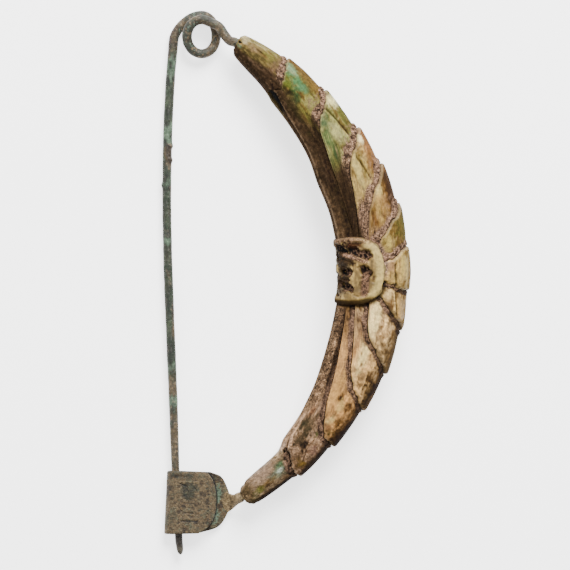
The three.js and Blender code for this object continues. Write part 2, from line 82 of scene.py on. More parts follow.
# Free edges from head to foot: height of the step, rows of the mesh, and the edge's line as share of
# the width (1 at the keel) and degrees along the arc. The sixth and seventh are the band's two edges.
EDGES = [
    (0.7, 84, [(1, 50.3), (0.83, 49.3), (0.5, 47.6), (0.34, 46.8), (0.2, 47.6), (0.06, 49.3)]),
    (0.8, 46, [(1, 39.9), (0.8, 37.5), (0.6, 36.1), (0.45, 34), (0.37, 30.5), (0.3, 23), (0.27, 7.5)]),
    (1.15, 44, [(1, 30.2), (0.88, 28), (0.7, 25.7), (0.58, 23.8), (0.5, 20.6), (0.4, 13), (0.34, 6.5)]),
    (1.0, 34, [(1, 21.6), (0.87, 18.8), (0.67, 15.3), (0.56, 12.1), (0.52, 10), (0.46, 5.3)]),
    (1.0, 30, [(1, 13.3), (0.95, 11.3), (0.85, 9.9), (0.71, 7.7), (0.55, 4.3)]),
    (0.5, 30, [(1, 4.9), (0.93, 4), (0.83, 2.9), (0.75, 2.2), (0.66, 1.8)]),
    (0.5, 30, [(1, -3.9), (0.9, -3.5), (0.75, -2.7), (0.64, -2.2)]),
    (0.8, 32, [(1, -11.6), (0.98, -10.5), (0.83, -8.6), (0.7, -6.5), (0.57, -4.9)]),
    (0.8, 36, [(1, -20.5), (0.87, -18.6), (0.67, -15.8), (0.55, -13.4), (0.5, -11), (0.47, -6.8)]),
    (0.85, 42, [(1, -29.1), (0.85, -27.6), (0.64, -25.4), (0.5, -22.6), (0.35, -14.3), (0.28, -7.8)]),
    (1.0, 44, [(1, -38.1), (0.77, -37.8), (0.54, -35.2), (0.36, -30.5), (0.22, -19), (0.15, -8.8)]),
    (1.0, 84, [(1, -47.4), (0.8, -47.4), (0.6, -46.8), (0.3, -45.2), (0.18, -45.1), (0.05, -46.3)]),
]
HEAD_SCALES = 5
BAND = HEAD_SCALES + 1
LAST_SCALE = len(EDGES) - 1
EDGE_STEP = 0.12
COLUMNS = 168
SLEEVE_ROWS = 30
BOSS_MIDDLE = 0.0
BOSS_HALF = 8.15
BOSS_REACH = 0.64
BOSS_TOP = 1.0
HOLE_RADIUS = 1.3
HOLE_DEPTH = 3.0
HEAD_HOLE = -0.25
FOOT_HOLE = -0.1

hinge = frame["record"]["behaviour"]["joints"][0]
leaning = Vector((0, 0, 1)).rotation_difference(Vector(hinge["axis"])).to_matrix().to_4x4()
to_coil = Matrix.Translation(-Vector(COIL_MIDDLE))
laid = np.array(Matrix.Translation(hinge["pos_m"]) @ leaning @ Matrix.Scale(MM, 4) @ to_coil)


def lay_down(points):
    """Millimetres about the bow's arc to metres in the lying brooch, nothing below the ground."""
    placed = points @ laid[:3, :3].T + laid[:3, 3]
    placed[:, 2] = np.maximum(placed[:, 2], 0.0)
    return placed


def smooth(x):
    """A soft step from 0 to 1, while x goes from 0 to 1."""
    t = np.clip(x, 0.0, 1.0)
    return t * t * (3 - 2 * t)


def rise(x, start, over):
    """A soft step up from 0 to 1 that begins at the start."""
    return smooth((x - start) / over)


def fall(x, end, over):
    """A soft step down from 1 to 0 that is over at the end."""
    return smooth((end - x) / over)


def along(table, x, column):
    """A monotone cubic through one column of a table, at x."""
    rows = sorted(table)
    xs = np.array([row[0] for row in rows], float)
    ys = np.array([row[column] for row in rows], float)
    slopes = np.diff(ys) / np.diff(xs)
    both = slopes[:-1] * slopes[1:]
    inner = np.where(both > 0, 2 * both / np.where(both > 0, slopes[:-1] + slopes[1:], 1), 0)
    tangents = np.concatenate([slopes[:1], inner, slopes[-1:]])
    i = np.clip(np.searchsorted(xs, x) - 1, 0, len(xs) - 2)
    width = xs[i + 1] - xs[i]
    t = np.clip((x - xs[i]) / width, 0, 1)
    return (
        ys[i] * (1 + 2 * t) * (1 - t) ** 2
        + ys[i + 1] * t * t * (3 - 2 * t)
        + tangents[i] * width * t * (1 - t) ** 2
        - tangents[i + 1] * width * t * t * (1 - t)
    )


def speckle(points, size, seed, depth=1):
    """Smooth noise from -1 to 1 at points, with bumps of the given size, finer ones added for depth."""
    cells = np.random.default_rng(seed).random((32, 32, 32))
    total = np.zeros(len(points))
    weight = 0.0
    for octave in range(depth):
        scaled = points / np.asarray(size) * 2**octave + 7.3 * octave
        low = np.floor(scaled).astype(int)
        part = scaled - low
        part = part * part * (3 - 2 * part)
        value = np.zeros(len(points))
        for corner in np.ndindex(2, 2, 2):
            share = np.ones(len(points))
            for axis in range(3):
                share *= part[:, axis] if corner[axis] else 1 - part[:, axis]
            a, b, c = ((low[:, axis] + corner[axis]) % 32 for axis in range(3))
            value += share * cells[a, b, c]
        total += (2 * value - 1) / 2**octave
        weight += 1 / 2**octave
    return total / weight


def colour(red, green, blue):
    """A tone as it looks under the studio light, as the share of light the surface gives back."""
    value = np.array([red, green, blue]) / 255
    mean = value.mean()
    if green > red:
        value = mean + 0.6 * (value - mean)
    tone = mean**4.2 * (value / mean) ** 4.9 * (value.max() / mean) ** np.array([-2.4, -0.4, -2])
    grey = 0.31 - 0.24 * mean
    return ((1 - grey) * tone + grey * tone.mean()) * np.array([1.24, 1.08, 1.1])


def painted(tint, *coats):
    """Lays coats of colour over the tint in turn, each by an amount from 0 to 1 at each point."""
    for shade, amount in coats:
        shade = colour(*shade) if isinstance(shade, tuple) else shade
        amount = np.clip(amount, 0, 1)[:, None]
        tint = tint * (1 - amount) + shade * amount
    return tint


def uneven(shade, strength):
    """A colour made lighter and darker by a strength at each point."""
    return shade * np.exp(strength)[:, None]


def skin(name, points, tint, wear, lay):
    """A sheet of rows by columns rolled up into one closed body, with its colours as attributes."""
    rows, columns = points.shape[:2]
    form = bmesh.new()
    bmesh.ops.create_grid(form, x_segments=columns, y_segments=rows - 1, size=1)
    mesh = bpy.data.meshes.new(name)
    form.to_mesh(mesh)
    form.free()
    flat = np.empty(len(mesh.vertices) * 3)
    mesh.vertices.foreach_get("co", flat)
    flat = flat.reshape(-1, 3)
    across = np.rint((flat[:, 0] + 1) / 2 * columns).astype(int) % columns
    down = np.rint((flat[:, 1] + 1) / 2 * (rows - 1)).astype(int)
    mesh.vertices.foreach_set("co", lay_down(points[down, across]).ravel())
    for layer, values in (("Tint", tint), ("Wear", wear)):
        full = np.concatenate([values[down, across], np.ones((len(down), 1))], axis=1)
        mesh.attributes.new(layer, "FLOAT_COLOR", "POINT").data.foreach_set("color", full.ravel())
    grain = mesh.attributes.new("Grain", "FLOAT_VECTOR", "POINT")
    grain.data.foreach_set("vector", lay[down, across].ravel())
    form = bmesh.new()
    form.from_mesh(mesh)
    bmesh.ops.remove_doubles(form, verts=form.verts, dist=1e-7)
    rims = [edge for edge in form.edges if edge.is_boundary]
    bmesh.ops.holes_fill(form, edges=rims, sides=0)
    bmesh.ops.recalc_face_normals(form, faces=form.faces)
    form.to_mesh(mesh)
    form.free()
    mesh.shade_smooth()
    piece = bpy.data.objects.new(name, mesh)
    bpy.context.scene.collection.objects.link(piece)
    return piece


def weathered(name, clean_rough, shine, fibres, pores, pore_depth):
    """A finish whose colour is the piece's own tint, broken by fine grain, with pores and crumbs of dirt."""
    material = bpy.data.materials.new(name)
    material.use_nodes = True
    nodes = material.node_tree.nodes
    links = material.node_tree.links
    shader = nodes["Principled BSDF"]
    place = nodes.new("ShaderNodeTexCoord").outputs["Object"]

    def layer(kind):
        node = nodes.new("ShaderNodeAttribute")
        node.attribute_name = kind
        return node

    def noise(where, scale, detail):
        node = nodes.new("ShaderNodeTexNoise")
        node.inputs["Scale"].default_value = scale
        node.inputs["Detail"].default_value = detail
        node.inputs["Roughness"].default_value = 0.62
        links.new(where, node.inputs["Vector"])
        return node.outputs["Fac"]

    def ranged(value, low, high, to_low, to_high):
        node = nodes.new("ShaderNodeMapRange")
        for socket, number in zip(("From Min", "From Max", "To Min", "To Max"), (low, high, to_low, to_high)):
            node.inputs[socket].default_value = number
        links.new(value, node.inputs["Value"])
        return node.outputs["Result"]

    def maths(operation, first, second):
        node = nodes.new("ShaderNodeMath")
        node.operation = operation
        for socket, value in zip(node.inputs, (first, second)):
            if isinstance(value, float):
                socket.default_value = value
            else:
                links.new(value, socket)
        return node.outputs["Value"]

    worn = nodes.new("ShaderNodeSeparateColor")
    links.new(layer("Wear").outputs["Color"], worn.inputs["Color"])
    crumbs = nodes.new("ShaderNodeTexVoronoi")
    crumbs.inputs["Scale"].default_value = 3300
    links.new(place, crumbs.inputs["Vector"])
    each = nodes.new("ShaderNodeSeparateColor")
    links.new(crumbs.outputs["Color"], each.inputs["Color"])
    crumb_tone = ranged(each.outputs["Red"], 0.0, 1.0, -0.35, 0.75)
    crumb_tone = maths("ADD", crumb_tone, ranged(crumbs.outputs["Distance"], 0.25, 0.75, 0.1, -0.7))
    crumb_tone = maths("ADD", maths("MULTIPLY", crumb_tone, worn.outputs["Green"]), 1.0)
    fine = ranged(noise(place, 1500, 5), 0.3, 0.7, 0.62, 1.34)
    fibre = ranged(noise(layer("Grain").outputs["Vector"], fibres, 5), 0.3, 0.7, 0.76, 1.2)
    tone = maths("MULTIPLY", maths("MULTIPLY", fine, fibre), crumb_tone)
    broken = nodes.new("ShaderNodeVectorMath")
    broken.operation = "SCALE"
    links.new(layer("Tint").outputs["Color"], broken.inputs[0])
    links.new(tone, broken.inputs["Scale"])
    links.new(broken.outputs["Vector"], shader.inputs["Base Color"])
    links.new(ranged(worn.outputs["Red"], 0.0, 1.0, clean_rough, 0.9), shader.inputs["Roughness"])
    links.new(ranged(worn.outputs["Red"], 0.0, 1.0, shine, 0.05), shader.inputs["Specular IOR Level"])
    beads = maths("MULTIPLY", ranged(crumbs.outputs["Distance"], 0.0, 0.7, 1.4, 0.0), worn.outputs["Green"])
    relief = maths("ADD", noise(place, pores, 4), beads)
    bump = nodes.new("ShaderNodeBump")
    bump.inputs["Strength"].default_value = 0.7
    bump.inputs["Distance"].default_value = pore_depth
    links.new(relief, bump.inputs["Height"])
    links.new(bump.outputs["Normal"], shader.inputs["Normal"])
    return material


def on_arc(angle, out, deep):
    """A place by its degrees along the bow's arc, millimetres out from it, and depth."""
    a = np.radians(angle)
    return np.stack([(BOW_RADIUS + out) * np.cos(a), (BOW_RADIUS + out) * np.sin(a), deep], axis=-1)


def strip_edge(angle):
    """Where round the section the hollowed inner strip begins. The sleeves at the ends have none."""
    sleeve = rise(angle, 47, 4) + fall(angle, -44, 3)
    return STRIP_EDGE + (176 - STRIP_EDGE) * np.minimum(1, sleeve)


def section(angle, turn):
    """Place across the bow (1 at the keel), depth, and hollow of the inner strip, round its section."""
    edge = strip_edge(angle)
    side = np.where(turn > 180, -1.0, 1.0)
    t = np.where(turn > 180, 360 - turn, turn)
    power = 2 / SECTION_POWER

    def bulge(v):
        return np.sign(v) * np.abs(v) ** power

    def across(v):
        return 1 - 2 * (1 - bulge(np.cos(np.radians(v)))) / (1 - bulge(np.cos(np.radians(edge))))

    inside = (180 - t) / (180 - edge)
    at_edge = bulge(np.sin(np.radians(edge)))
    shown = t <= edge
    place = np.where(shown, across(np.minimum(t, edge)), -1.0)
    deep = side * np.where(shown, bulge(np.sin(np.radians(np.minimum(t, 180)))), inside * at_edge)
    hollow = np.where(shown | (edge > 170), 0.0, STRIP_HOLLOW * (1 - inside**2))
    return place, deep, hollow


def bow_point(angle, turn, lift):
    """Places on the bow's surface, lifted off it, and how far out from the arc they are."""
    inner = along(STATIONS, angle, 1)
    keel = along(STATIONS, angle, 2)
    half = (keel - inner) / 2
    place, deep, hollow = section(angle, turn)
    out = (keel + inner) / 2 + (half + lift) * place + hollow
    return on_arc(angle, out, (half * along(STATIONS, angle, 3) + lift) * deep), out


def edge_angle(edge, share):
    """Where along the arc a free edge is, at each share of the width. Its end on the face is ragged."""
    line = edge[2]
    ragged = 0.14 * np.sin(share * 31 + line[0][1]) + 0.09 * np.sin(share * 67 + 2 * line[0][1])
    return along(line, share, 1) + ragged * smooth((share - line[-1][0]) / 0.1)


turns = np.arange(COLUMNS) * 360 / COLUMNS
shares = (1 + section(np.zeros(COLUMNS), turns)[0]) / 2
angle_rows = []
part_rows = []
reach_rows = []


def put_run(start, stop, count, part, begin, end):
    """Rows of the bow from one edge to the next, closer together near both, and how far each is lifted."""
    for i in range(count + 1):
        t = i / count
        t = 0.35 * t + 0.65 * t * t * (3 - 2 * t)
        angle_rows.append(start + (stop - start) * t)
        part_rows.append(part)
        reach_rows.append(begin + (end - begin) * t)


edge_places = [edge_angle(edge, shares) for edge in EDGES]
put_run(np.full(COLUMNS, HEAD_END), edge_places[0] + EDGE_STEP, SLEEVE_ROWS, 0, 0, 0)
for k in range(1, len(EDGES)):
    start, stop = edge_places[k - 1], edge_places[k]
    if k < BAND:
        put_run(start, stop + EDGE_STEP, EDGES[k - 1][1], k, 1, 0)
    elif k == BAND:
        put_run(start, stop, EDGES[k][1], k, 1, 1)
    else:
        put_run(start - EDGE_STEP, stop, EDGES[k][1], k, 0, 1)
put_run(edge_places[-1] - EDGE_STEP, np.full(COLUMNS, FOOT_END), SLEEVE_ROWS, len(EDGES), 0, 0)

angle = np.array(angle_rows)
rows = len(angle)
part = np.repeat(part_rows, COLUMNS)
reach = np.repeat(reach_rows, COLUMNS)
angle = angle.ravel()
turn = np.tile(turns, rows)
share = np.tile(shares, rows)
base, out = bow_point(angle, turn, 0.0)
run_mm = np.radians(angle) * BOW_RADIUS
flat = np.stack([run_mm, out], axis=1)


def across_and_along(across, degrees):
    """A place on the unrolled bow."""
    return np.radians(degrees) * BOW_RADIUS, across


def gap_to_stroke(places, start, stop):
    """Distance from places on the unrolled bow to a straight stroke."""
    start = np.asarray(start, float)
    way = np.asarray(stop, float) - start
    t = np.clip(((places - start) @ way) / (way @ way + 1e-9), 0, 1)
    return np.hypot(*(places - start - t[:, None] * way).T)


def gap_to_edge(edge, chosen):
    """Distance in millimetres, seen from the front, from the chosen points to a free edge."""
    steps = np.linspace(1.0, edge[2][-1][0], 60)
    angles = edge_angle(edge, steps)
    inner = along(STATIONS, angles, 1)
    keel = along(STATIONS, angles, 2)
    line = np.stack([np.radians(angles) * BOW_RADIUS, inner + steps * (keel - inner)], axis=1)
    return np.min([gap_to_stroke(flat[chosen], a, b) for a, b in zip(line[:-1], line[1:])], axis=0)


# Own: distance to the piece's own free edge. Foot: distance to the edge of the scale that overlaps it
own = np.full(len(angle), 99.0)
foot = np.full(len(angle), 99.0)
height = np.zeros(len(angle))
over = np.zeros(len(angle))
for k in range(len(EDGES) + 1):
    chosen = part == k
    if k != BAND:
        above = k if k < BAND else k - 1
        foot[chosen] = gap_to_edge(EDGES[above], chosen)
        over[chosen] = EDGES[above][0]
    if 0 < k < len(EDGES):
        below = k - 1 if k < BAND else k
        own[chosen] = gap_to_edge(EDGES[below], chosen)
        height[chosen] = EDGES[below][0]
    if k == BAND:
        own[chosen] = np.minimum(own[chosen], gap_to_edge(EDGES[k - 1], chosen))

head_half = angle > 0
front = turn < 180
up = (angle - BOSS_MIDDLE) / BOSS_HALF
rim_place = (np.abs(up) ** 3 + (share / BOSS_REACH) ** 3) ** (1 / 3)
near_boss = rise(rim_place, 0.98, 0.3)
grit = speckle(base, 0.42, 3, 2)
coarse = speckle(base, 0.8, 4, 2)
relief = rise(share, 0.03, 0.37) * (0.7 + 0.3 * share) * (0.45 + 0.55 * near_boss)
lift = height * relief * reach
chips = 0.5 + 0.5 * speckle(base, 1.6, 6, 2)
lift -= (0.2 + 0.35 * chips) * relief * np.clip(1 - own / 0.36, 0, 1) ** 2 * (height > 0)
# The worn surface is slightly uneven and granular
lift += 0.05 * speckle(base, (3, 3, 3), 8, 3) + 0.016 * grit

# Packed dirt stands in a band against each step, and spreads at the lower end of two of them
band_width = np.where(head_half, 1.4, 1.2) * (0.95 + 0.3 * speckle(base, 2.2, 5))
band_width *= 1 + np.where(head_half, 0.4, 0.2) * fall(share, 0.8, 0.25)
second_low = 0.25 * (part == 2) * fall(share, 0.78, 0.1)
third_low = 0.4 * (part == 3) * fall(share, 0.6, 0.08)
band_width *= 1 + third_low + second_low
in_band = band_width - foot + 0.16 * grit
dirt = smooth(in_band / 0.22) * rise(share, 0.1, 0.08)
packed = over * relief * np.where(head_half, 0.45, 0.28) * smooth(in_band / 0.55) + 0.1 * grit * dirt
lift = np.where(in_band > 0, np.maximum(lift, packed), lift)
shadowed_seam = fall(foot, 0.24, 0.14) * (share > 0.1)
lift -= 0.3 * shadowed_seam * relief

# Creases that part the leaves on the scales: mm across and degrees along at both ends, depth
CREASES = [
    (1.2, 37.2, 2.6, 29.6, 0.2),
    (-0.9, 29.6, 0.3, 27.0, 0.12),
    (1.5, 24.9, 2.96, 19.4, 0.22),
    (4.5, 1.2, 4.8, -2.9, 0.22),
    (4.9, -4.3, 5.3, -8.8, 0.2),
    (3.1, -21.8, 3.2, -26.2, 0.14),
    (2.6, 12.5, 4.6, 9.0, 0.12),
    (-2.2, -45.2, -3.45, -43.2, 0.2),
    (-3.45, -43.2, -4.5, -41.1, 0.14),
    (1.5, -44.6, 0.55, -42.3, 0.18),
    (0.55, -42.3, 0.5, -39.5, 0.14),
]
crease = np.zeros(len(angle))
for x0, a0, x1, a1, deep in CREASES:
    gap = gap_to_stroke(flat, across_and_along(x0, a0), across_and_along(x1, a1))
    crease = np.maximum(crease, deep * fall(gap, 0.28, 0.22))
crease *= front
lift -= crease

# The inner side: a ridge along the front edge of the hollowed strip, and a deep pocket at its head end
# Ridge: degrees along, share of the width
RIDGE = [(-46, 0.02), (-30, 0.04), (22, 0.05), (34, 0.065), (40, 0.09), (44, 0.14), (47, 0.22), (49, 0.1)]
ridge_place = np.interp(angle, *zip(*RIDGE))
inner_run = rise(angle, -46, 2) * fall(angle, 49, 1.0)
ridge = np.exp(-(((share - ridge_place) / 0.011) ** 2)) * inner_run * front
pocket = smooth((ridge_place - share) / 0.03) * rise(angle, 41, 3)
pocket *= fall(angle, 48.8, 0.6) * front
lift += 0.16 * ridge - 0.9 * pocket
fibre_places = np.stack([run_mm, out * 7, base[:, 2] * 7], axis=1)
fibre = speckle(fibre_places, (9, 3, 3), 21, 3)
lift += 0.05 * fibre * fall(share, 0.42, 0.2)
# The last scale ends in a rounded nose
nose = np.hypot(np.radians(angle + 43) * BOW_RADIUS / 3.4, (out + 1.6) / 2.1)
lift += 0.2 * smooth(1.2 - nose) * front * (part == LAST_SCALE)
# Lumps on the foot's end, and pits: degrees along, share of the width, radius and depth in mm
lift += 0.34 * speckle(base, 1.2, 24, 2) * fall(angle, -57, 1.0)
PITS = [(-46.1, 0.14, 0.42, 0.7), (60.5, 0.6, 0.4, 0.5), (55.3, 0.71, 0.22, 0.25), (-43.4, 0.62, 0.3, 0.2)]
pitted = np.zeros(len(angle))
width_mm = along(STATIONS, angle, 2) - along(STATIONS, angle, 1)
for a0, s0, radius, deep in PITS:
    gap = np.hypot(np.radians(angle - a0) * BOW_RADIUS, (share - s0) * width_mm) + 0.1 * grit
    pitted = np.maximum(pitted, deep * smooth((radius - gap) / 0.2) * front)
lift -= pitted
lift = np.where(rim_place < 0.96, np.minimum(lift, -0.15), lift)
points = bow_point(angle, turn, lift)[0]

# Colours of the bone at the keel and on the face of each part, from the head's sleeve to the foot's
TONES = [
    ((160, 148, 108), (146, 130, 94)),
    ((146, 120, 72), (150, 138, 82)),
    ((142, 134, 80), (158, 152, 104)),
    ((178, 126, 64), (192, 166, 108)),
    ((140, 104, 64), (178, 144, 90)),
    ((150, 126, 84), (176, 150, 88)),
    ((180, 154, 102), (196, 168, 116)),
    ((178, 146, 96), (212, 184, 140)),
    ((152, 126, 92), (228, 200, 164)),
    ((132, 106, 76), (224, 190, 150)),
    ((108, 86, 66), (206, 164, 118)),
    ((112, 92, 76), (180, 154, 134)),
    ((104, 84, 68), (156, 138, 118)),
]
streak = speckle(np.stack([run_mm, out * 5, base[:, 2] * 5], axis=1), (5, 3, 3), 31, 3)
blot = speckle(base, 3.2, 33, 3)
spots = speckle(base, 1.3, 35, 3)
tint = np.zeros((len(angle), 3))
toward_keel = smooth((share - 0.74) / 0.22 + 0.25 * blot)
for k, (keel_tone, face_tone) in enumerate(TONES):
    chosen = part == k
    mix = toward_keel[chosen][:, None]
    tint[chosen] = colour(*face_tone) * (1 - mix) + colour(*keel_tone) * mix
fine = speckle(base, 0.3, 36, 2)
# Painted shade: the bone is darkened towards the keel
painted_keel_shade = 0.45 * rise(share, 0.86, 0.12)
tint *= np.exp(1.1 * streak + 0.7 * blot + 0.6 * grit + 0.8 * fine - painted_keel_shade)[:, None]

# Brown soaks into the grain in streaks and spots
late = part >= LAST_SCALE
soaked = smooth((streak + 0.4 * spots - 0.08) / 0.3) * np.where(late, 0.25, 0.55)
specks = smooth((grit + 0.5 * coarse - 0.34) / 0.2) * np.where(late, 0.7, 0.3)
tint = painted(
    tint,
    ((158, 118, 66), soaked),
    ((122, 90, 54), smooth((0.6 * spots + 0.9 * streak - 0.3) / 0.2) * 0.6),
    ((98, 78, 60), specks),
)
# Larger stains: part, degrees along and share of the width, half sizes of both, colour, strength. The dark
# brown ones along the keel of the foot half are partly stains and partly painted shade
STAINS = [
    (0, 59.9, 0.8, 0.8, 0.2, (190, 176, 142), 0.6),
    (0, 56.6, 0.72, 1.8, 0.14, (166, 142, 116), 0.55),
    (0, 55.3, 0.71, 1.0, 0.04, (70, 50, 36), 0.85),
    (0, 53.2, 0.8, 2.4, 0.14, (156, 144, 84), 0.7),
    (0, 50.9, 0.6, 1.1, 0.5, (150, 126, 110), 0.6),
    (0, 60.3, 0.44, 0.6, 0.12, (124, 160, 138), 0.7),
    (1, 48.0, 0.8, 2.0, 0.1, (138, 176, 136), 0.9),
    (1, 45.4, 0.68, 2.8, 0.12, (104, 164, 118), 0.95),
    (1, 43.3, 0.72, 1.3, 0.09, (120, 162, 118), 0.8),
    (1, 43.0, 0.46, 1.7, 0.11, (70, 130, 92), 0.9),
    (1, 47.0, 0.56, 1.6, 0.12, (150, 140, 36), 0.9),
    (1, 46.6, 0.97, 2.0, 0.1, (148, 122, 78), 0.8),
    (1, 43.6, 0.9, 2.4, 0.1, (150, 124, 76), 0.8),
    (1, 42.2, 0.8, 1.0, 0.08, (124, 92, 46), 0.6),
    (1, 40.3, 0.58, 1.8, 0.12, (166, 152, 96), 0.75),
    (1, 38.0, 0.48, 1.6, 0.08, (156, 146, 86), 0.7),
    (1, 41.2, 0.92, 1.6, 0.1, (162, 132, 72), 0.75),
    (1, 44.8, 0.44, 2.6, 0.06, (72, 76, 34), 0.8),
    (2, 35.0, 0.58, 2.4, 0.08, (124, 150, 110), 0.85),
    (2, 30.5, 0.46, 4.0, 0.06, (108, 140, 92), 0.9),
    (2, 27.4, 0.47, 2.2, 0.08, (92, 114, 74), 0.8),
    (2, 28.6, 0.66, 1.6, 0.1, (140, 124, 84), 0.5),
    (2, 31.6, 0.66, 2.0, 0.07, (186, 178, 130), 0.6),
    (2, 37.3, 0.93, 1.6, 0.08, (212, 204, 162), 0.85),
    (2, 33.6, 0.98, 3.0, 0.07, (136, 126, 58), 0.8),
    (2, 31.6, 0.88, 1.8, 0.08, (128, 116, 62), 0.6),
    (3, 25.6, 0.97, 4.2, 0.1, (172, 128, 78), 0.85),
    (3, 22.0, 0.87, 3.2, 0.08, (164, 124, 70), 0.8),
    (3, 27.8, 0.88, 1.0, 0.04, (226, 216, 182), 0.9),
    (3, 26.2, 0.78, 1.0, 0.05, (148, 108, 54), 0.7),
    (3, 22.5, 0.64, 3.5, 0.05, (204, 186, 136), 0.75),
    (3, 14.0, 0.52, 4.0, 0.08, (188, 150, 82), 0.7),
    (4, 16.5, 0.95, 3.6, 0.12, (112, 82, 54), 0.9),
    (4, 16.6, 0.78, 1.2, 0.05, (212, 190, 140), 0.8),
    (4, 12.8, 0.7, 3.0, 0.05, (196, 164, 104), 0.7),
    (4, 10.6, 0.62, 2.0, 0.04, (150, 100, 50), 0.7),
    (5, 8.6, 0.92, 2.6, 0.1, (142, 128, 62), 0.8),
    (5, 5.8, 0.74, 1.6, 0.06, (210, 186, 126), 0.8),
    (5, 4.6, 0.86, 1.8, 0.05, (126, 96, 50), 0.7),
    (6, 1.0, 0.72, 1.6, 0.06, (196, 162, 132), 0.75),
    (6, 1.2, 0.92, 2.6, 0.05, (206, 178, 106), 0.8),
    (6, 0.2, 0.99, 3.0, 0.03, (150, 120, 84), 0.7),
    (7, -4.9, 0.72, 1.2, 0.09, (224, 200, 162), 0.85),
    (7, -6.6, 0.76, 1.4, 0.05, (142, 104, 72), 0.85),
    (7, -7.4, 0.92, 3.2, 0.05, (196, 162, 104), 0.7),
    (8, -10.5, 0.58, 4.2, 0.09, (228, 212, 174), 0.85),
    (8, -11.4, 0.72, 2.4, 0.02, (142, 96, 50), 0.85),
    (8, -13.0, 0.77, 1.6, 0.05, (170, 130, 78), 0.7),
    (8, -16.2, 0.88, 2.4, 0.12, (120, 98, 74), 0.85),
    (9, -18.6, 0.58, 4.6, 0.08, (230, 212, 172), 0.85),
    (9, -18.6, 0.44, 7.0, 0.04, (192, 138, 74), 0.85),
    (9, -18.2, 0.54, 0.5, 0.02, (150, 92, 44), 0.9),
    (9, -20.6, 0.6, 0.6, 0.02, (150, 92, 44), 0.9),
    (9, -21.6, 0.8, 2.2, 0.06, (118, 88, 60), 0.85),
    (9, -24.8, 0.88, 2.2, 0.11, (92, 68, 46), 0.9),
    (10, -27.0, 0.42, 6.0, 0.08, (214, 172, 118), 0.8),
    (10, -28.7, 0.54, 0.9, 0.05, (108, 72, 42), 0.9),
    (10, -29.9, 0.74, 0.9, 0.07, (104, 64, 36), 0.9),
    (10, -31.0, 0.62, 2.0, 0.06, (216, 186, 136), 0.8),
    (10, -33.4, 0.6, 1.4, 0.06, (218, 194, 150), 0.85),
    (10, -33.0, 0.76, 1.6, 0.04, (168, 122, 48), 0.85),
    (10, -35.6, 0.94, 3.6, 0.14, (92, 70, 54), 0.95),
    (10, -36.3, 0.72, 0.8, 0.06, (88, 102, 48), 0.85),
    (10, -36.6, 0.56, 0.9, 0.1, (92, 108, 56), 0.85),
    (10, -35.8, 0.64, 0.7, 0.08, (140, 106, 90), 0.8),
    (11, -29.0, 0.1, 3.0, 0.04, (146, 92, 56), 0.75),
    (11, -34.2, 0.2, 1.8, 0.04, (178, 118, 74), 0.7),
    (11, -40.4, 0.34, 3.6, 0.2, (92, 86, 70), 1.0),
    (11, -38.2, 0.32, 2.0, 0.14, (104, 98, 80), 0.9),
    (11, -42.0, 0.52, 1.5, 0.07, (58, 48, 38), 0.9),
    (11, -41.3, 0.77, 1.1, 0.1, (154, 126, 116), 0.85),
    (11, -38.2, 0.58, 0.9, 0.07, (112, 122, 58), 0.85),
    (11, -45.4, 0.66, 1.6, 0.3, (104, 82, 58), 0.8),
    (11, -44.9, 0.76, 0.8, 0.12, (164, 130, 62), 0.95),
    (11, -44.0, 0.96, 4.0, 0.1, (94, 74, 60), 0.85),
    (12, -54.4, 0.2, 4.0, 0.28, (172, 150, 136), 0.6),
    (12, -48.9, 0.38, 1.2, 0.12, (92, 146, 112), 0.75),
    (12, -50.6, 0.52, 1.9, 0.14, (138, 152, 128), 0.85),
    (12, -49.6, 0.5, 0.5, 0.06, (182, 194, 178), 0.6),
    (12, -53.0, 0.58, 1.7, 0.1, (150, 116, 64), 0.8),
    (12, -53.6, 0.66, 0.8, 0.05, (96, 62, 36), 0.8),
    (12, -55.7, 0.6, 1.2, 0.11, (140, 132, 64), 0.75),
    (12, -57.2, 0.7, 0.9, 0.13, (92, 118, 72), 0.7),
    (12, -57.6, 0.3, 1.8, 0.2, (104, 92, 70), 0.6),
    (12, -53.5, 0.94, 5.0, 0.13, (92, 74, 60), 0.95),
    (12, -58.4, 0.4, 1.2, 0.5, (122, 108, 84), 0.7),
]
edge_noise = 0.8 * speckle(base, 1.5, 37, 3) + 0.6 * streak + 0.45 * grit + 0.4 * speckle(base, 0.28, 39, 2)
mottle = 0.85 + 0.5 * speckle(base, 0.7, 38, 2)
fade = np.where(front, 1.0, 0.5)
for k, a0, s0, length, wide, shade, amount in STAINS:
    far = np.hypot((angle - a0) / length, (share - s0) / wide) + edge_noise
    tint = painted(tint, (shade, smooth(1.4 - far) * amount * mottle * fade * (part == k)))

# The inner side is dark in the head half and crusted in the foot half
# Edge of the dark: degrees along, share of the width
DARK_EDGE = [
    (7, 0.37),
    (18, 0.45),
    (26, 0.46),
    (34, 0.43),
    (36, 0.38),
    (39, 0.33),
    (43, 0.38),
    (46, 0.43),
    (49, 0.45),
    (52, 0.46),
    (57, 0.36),
    (60, 0.34),
]
dark_line = np.interp(angle, *zip(*DARK_EDGE)) + 0.05 * blot
dark = smooth((dark_line - share) / 0.2 + 0.5) * (part <= 1)
dark = np.maximum(dark, fall(angle, 26, 2.5) * (part == 2)) * np.where(front, 1, 0.7)
inner_tone = uneven(colour(118, 98, 82), 0.6 * fibre + 0.9 * grit + 0.5 * blot)
inner_tone *= (1 - 0.35 * rise(angle, 49, 4))[:, None]
olive = dark * rise(share, 0.16, 0.1) * rise(blot, -0.1, 0.3) * (part == 1)
crusted = fall(share, 0.3, 0.12) * fall(angle, -8.5, 1.0) * rise(angle, -38, 6)
crusted *= part == LAST_SCALE
crust_tone = 1.2 * grit + 1.5 * coarse - 0.6 * fall(share, 0.11, 0.07)
dusted = fall(angle, -7, 1.5) * rise(angle, -18, 7) * fall(share, 0.56, 0.1)
dusted = np.clip(dusted * (0.75 + grit), 0, 0.85)
worn_rim = fall(own, 0.3, 0.2) * relief * (height > 0)
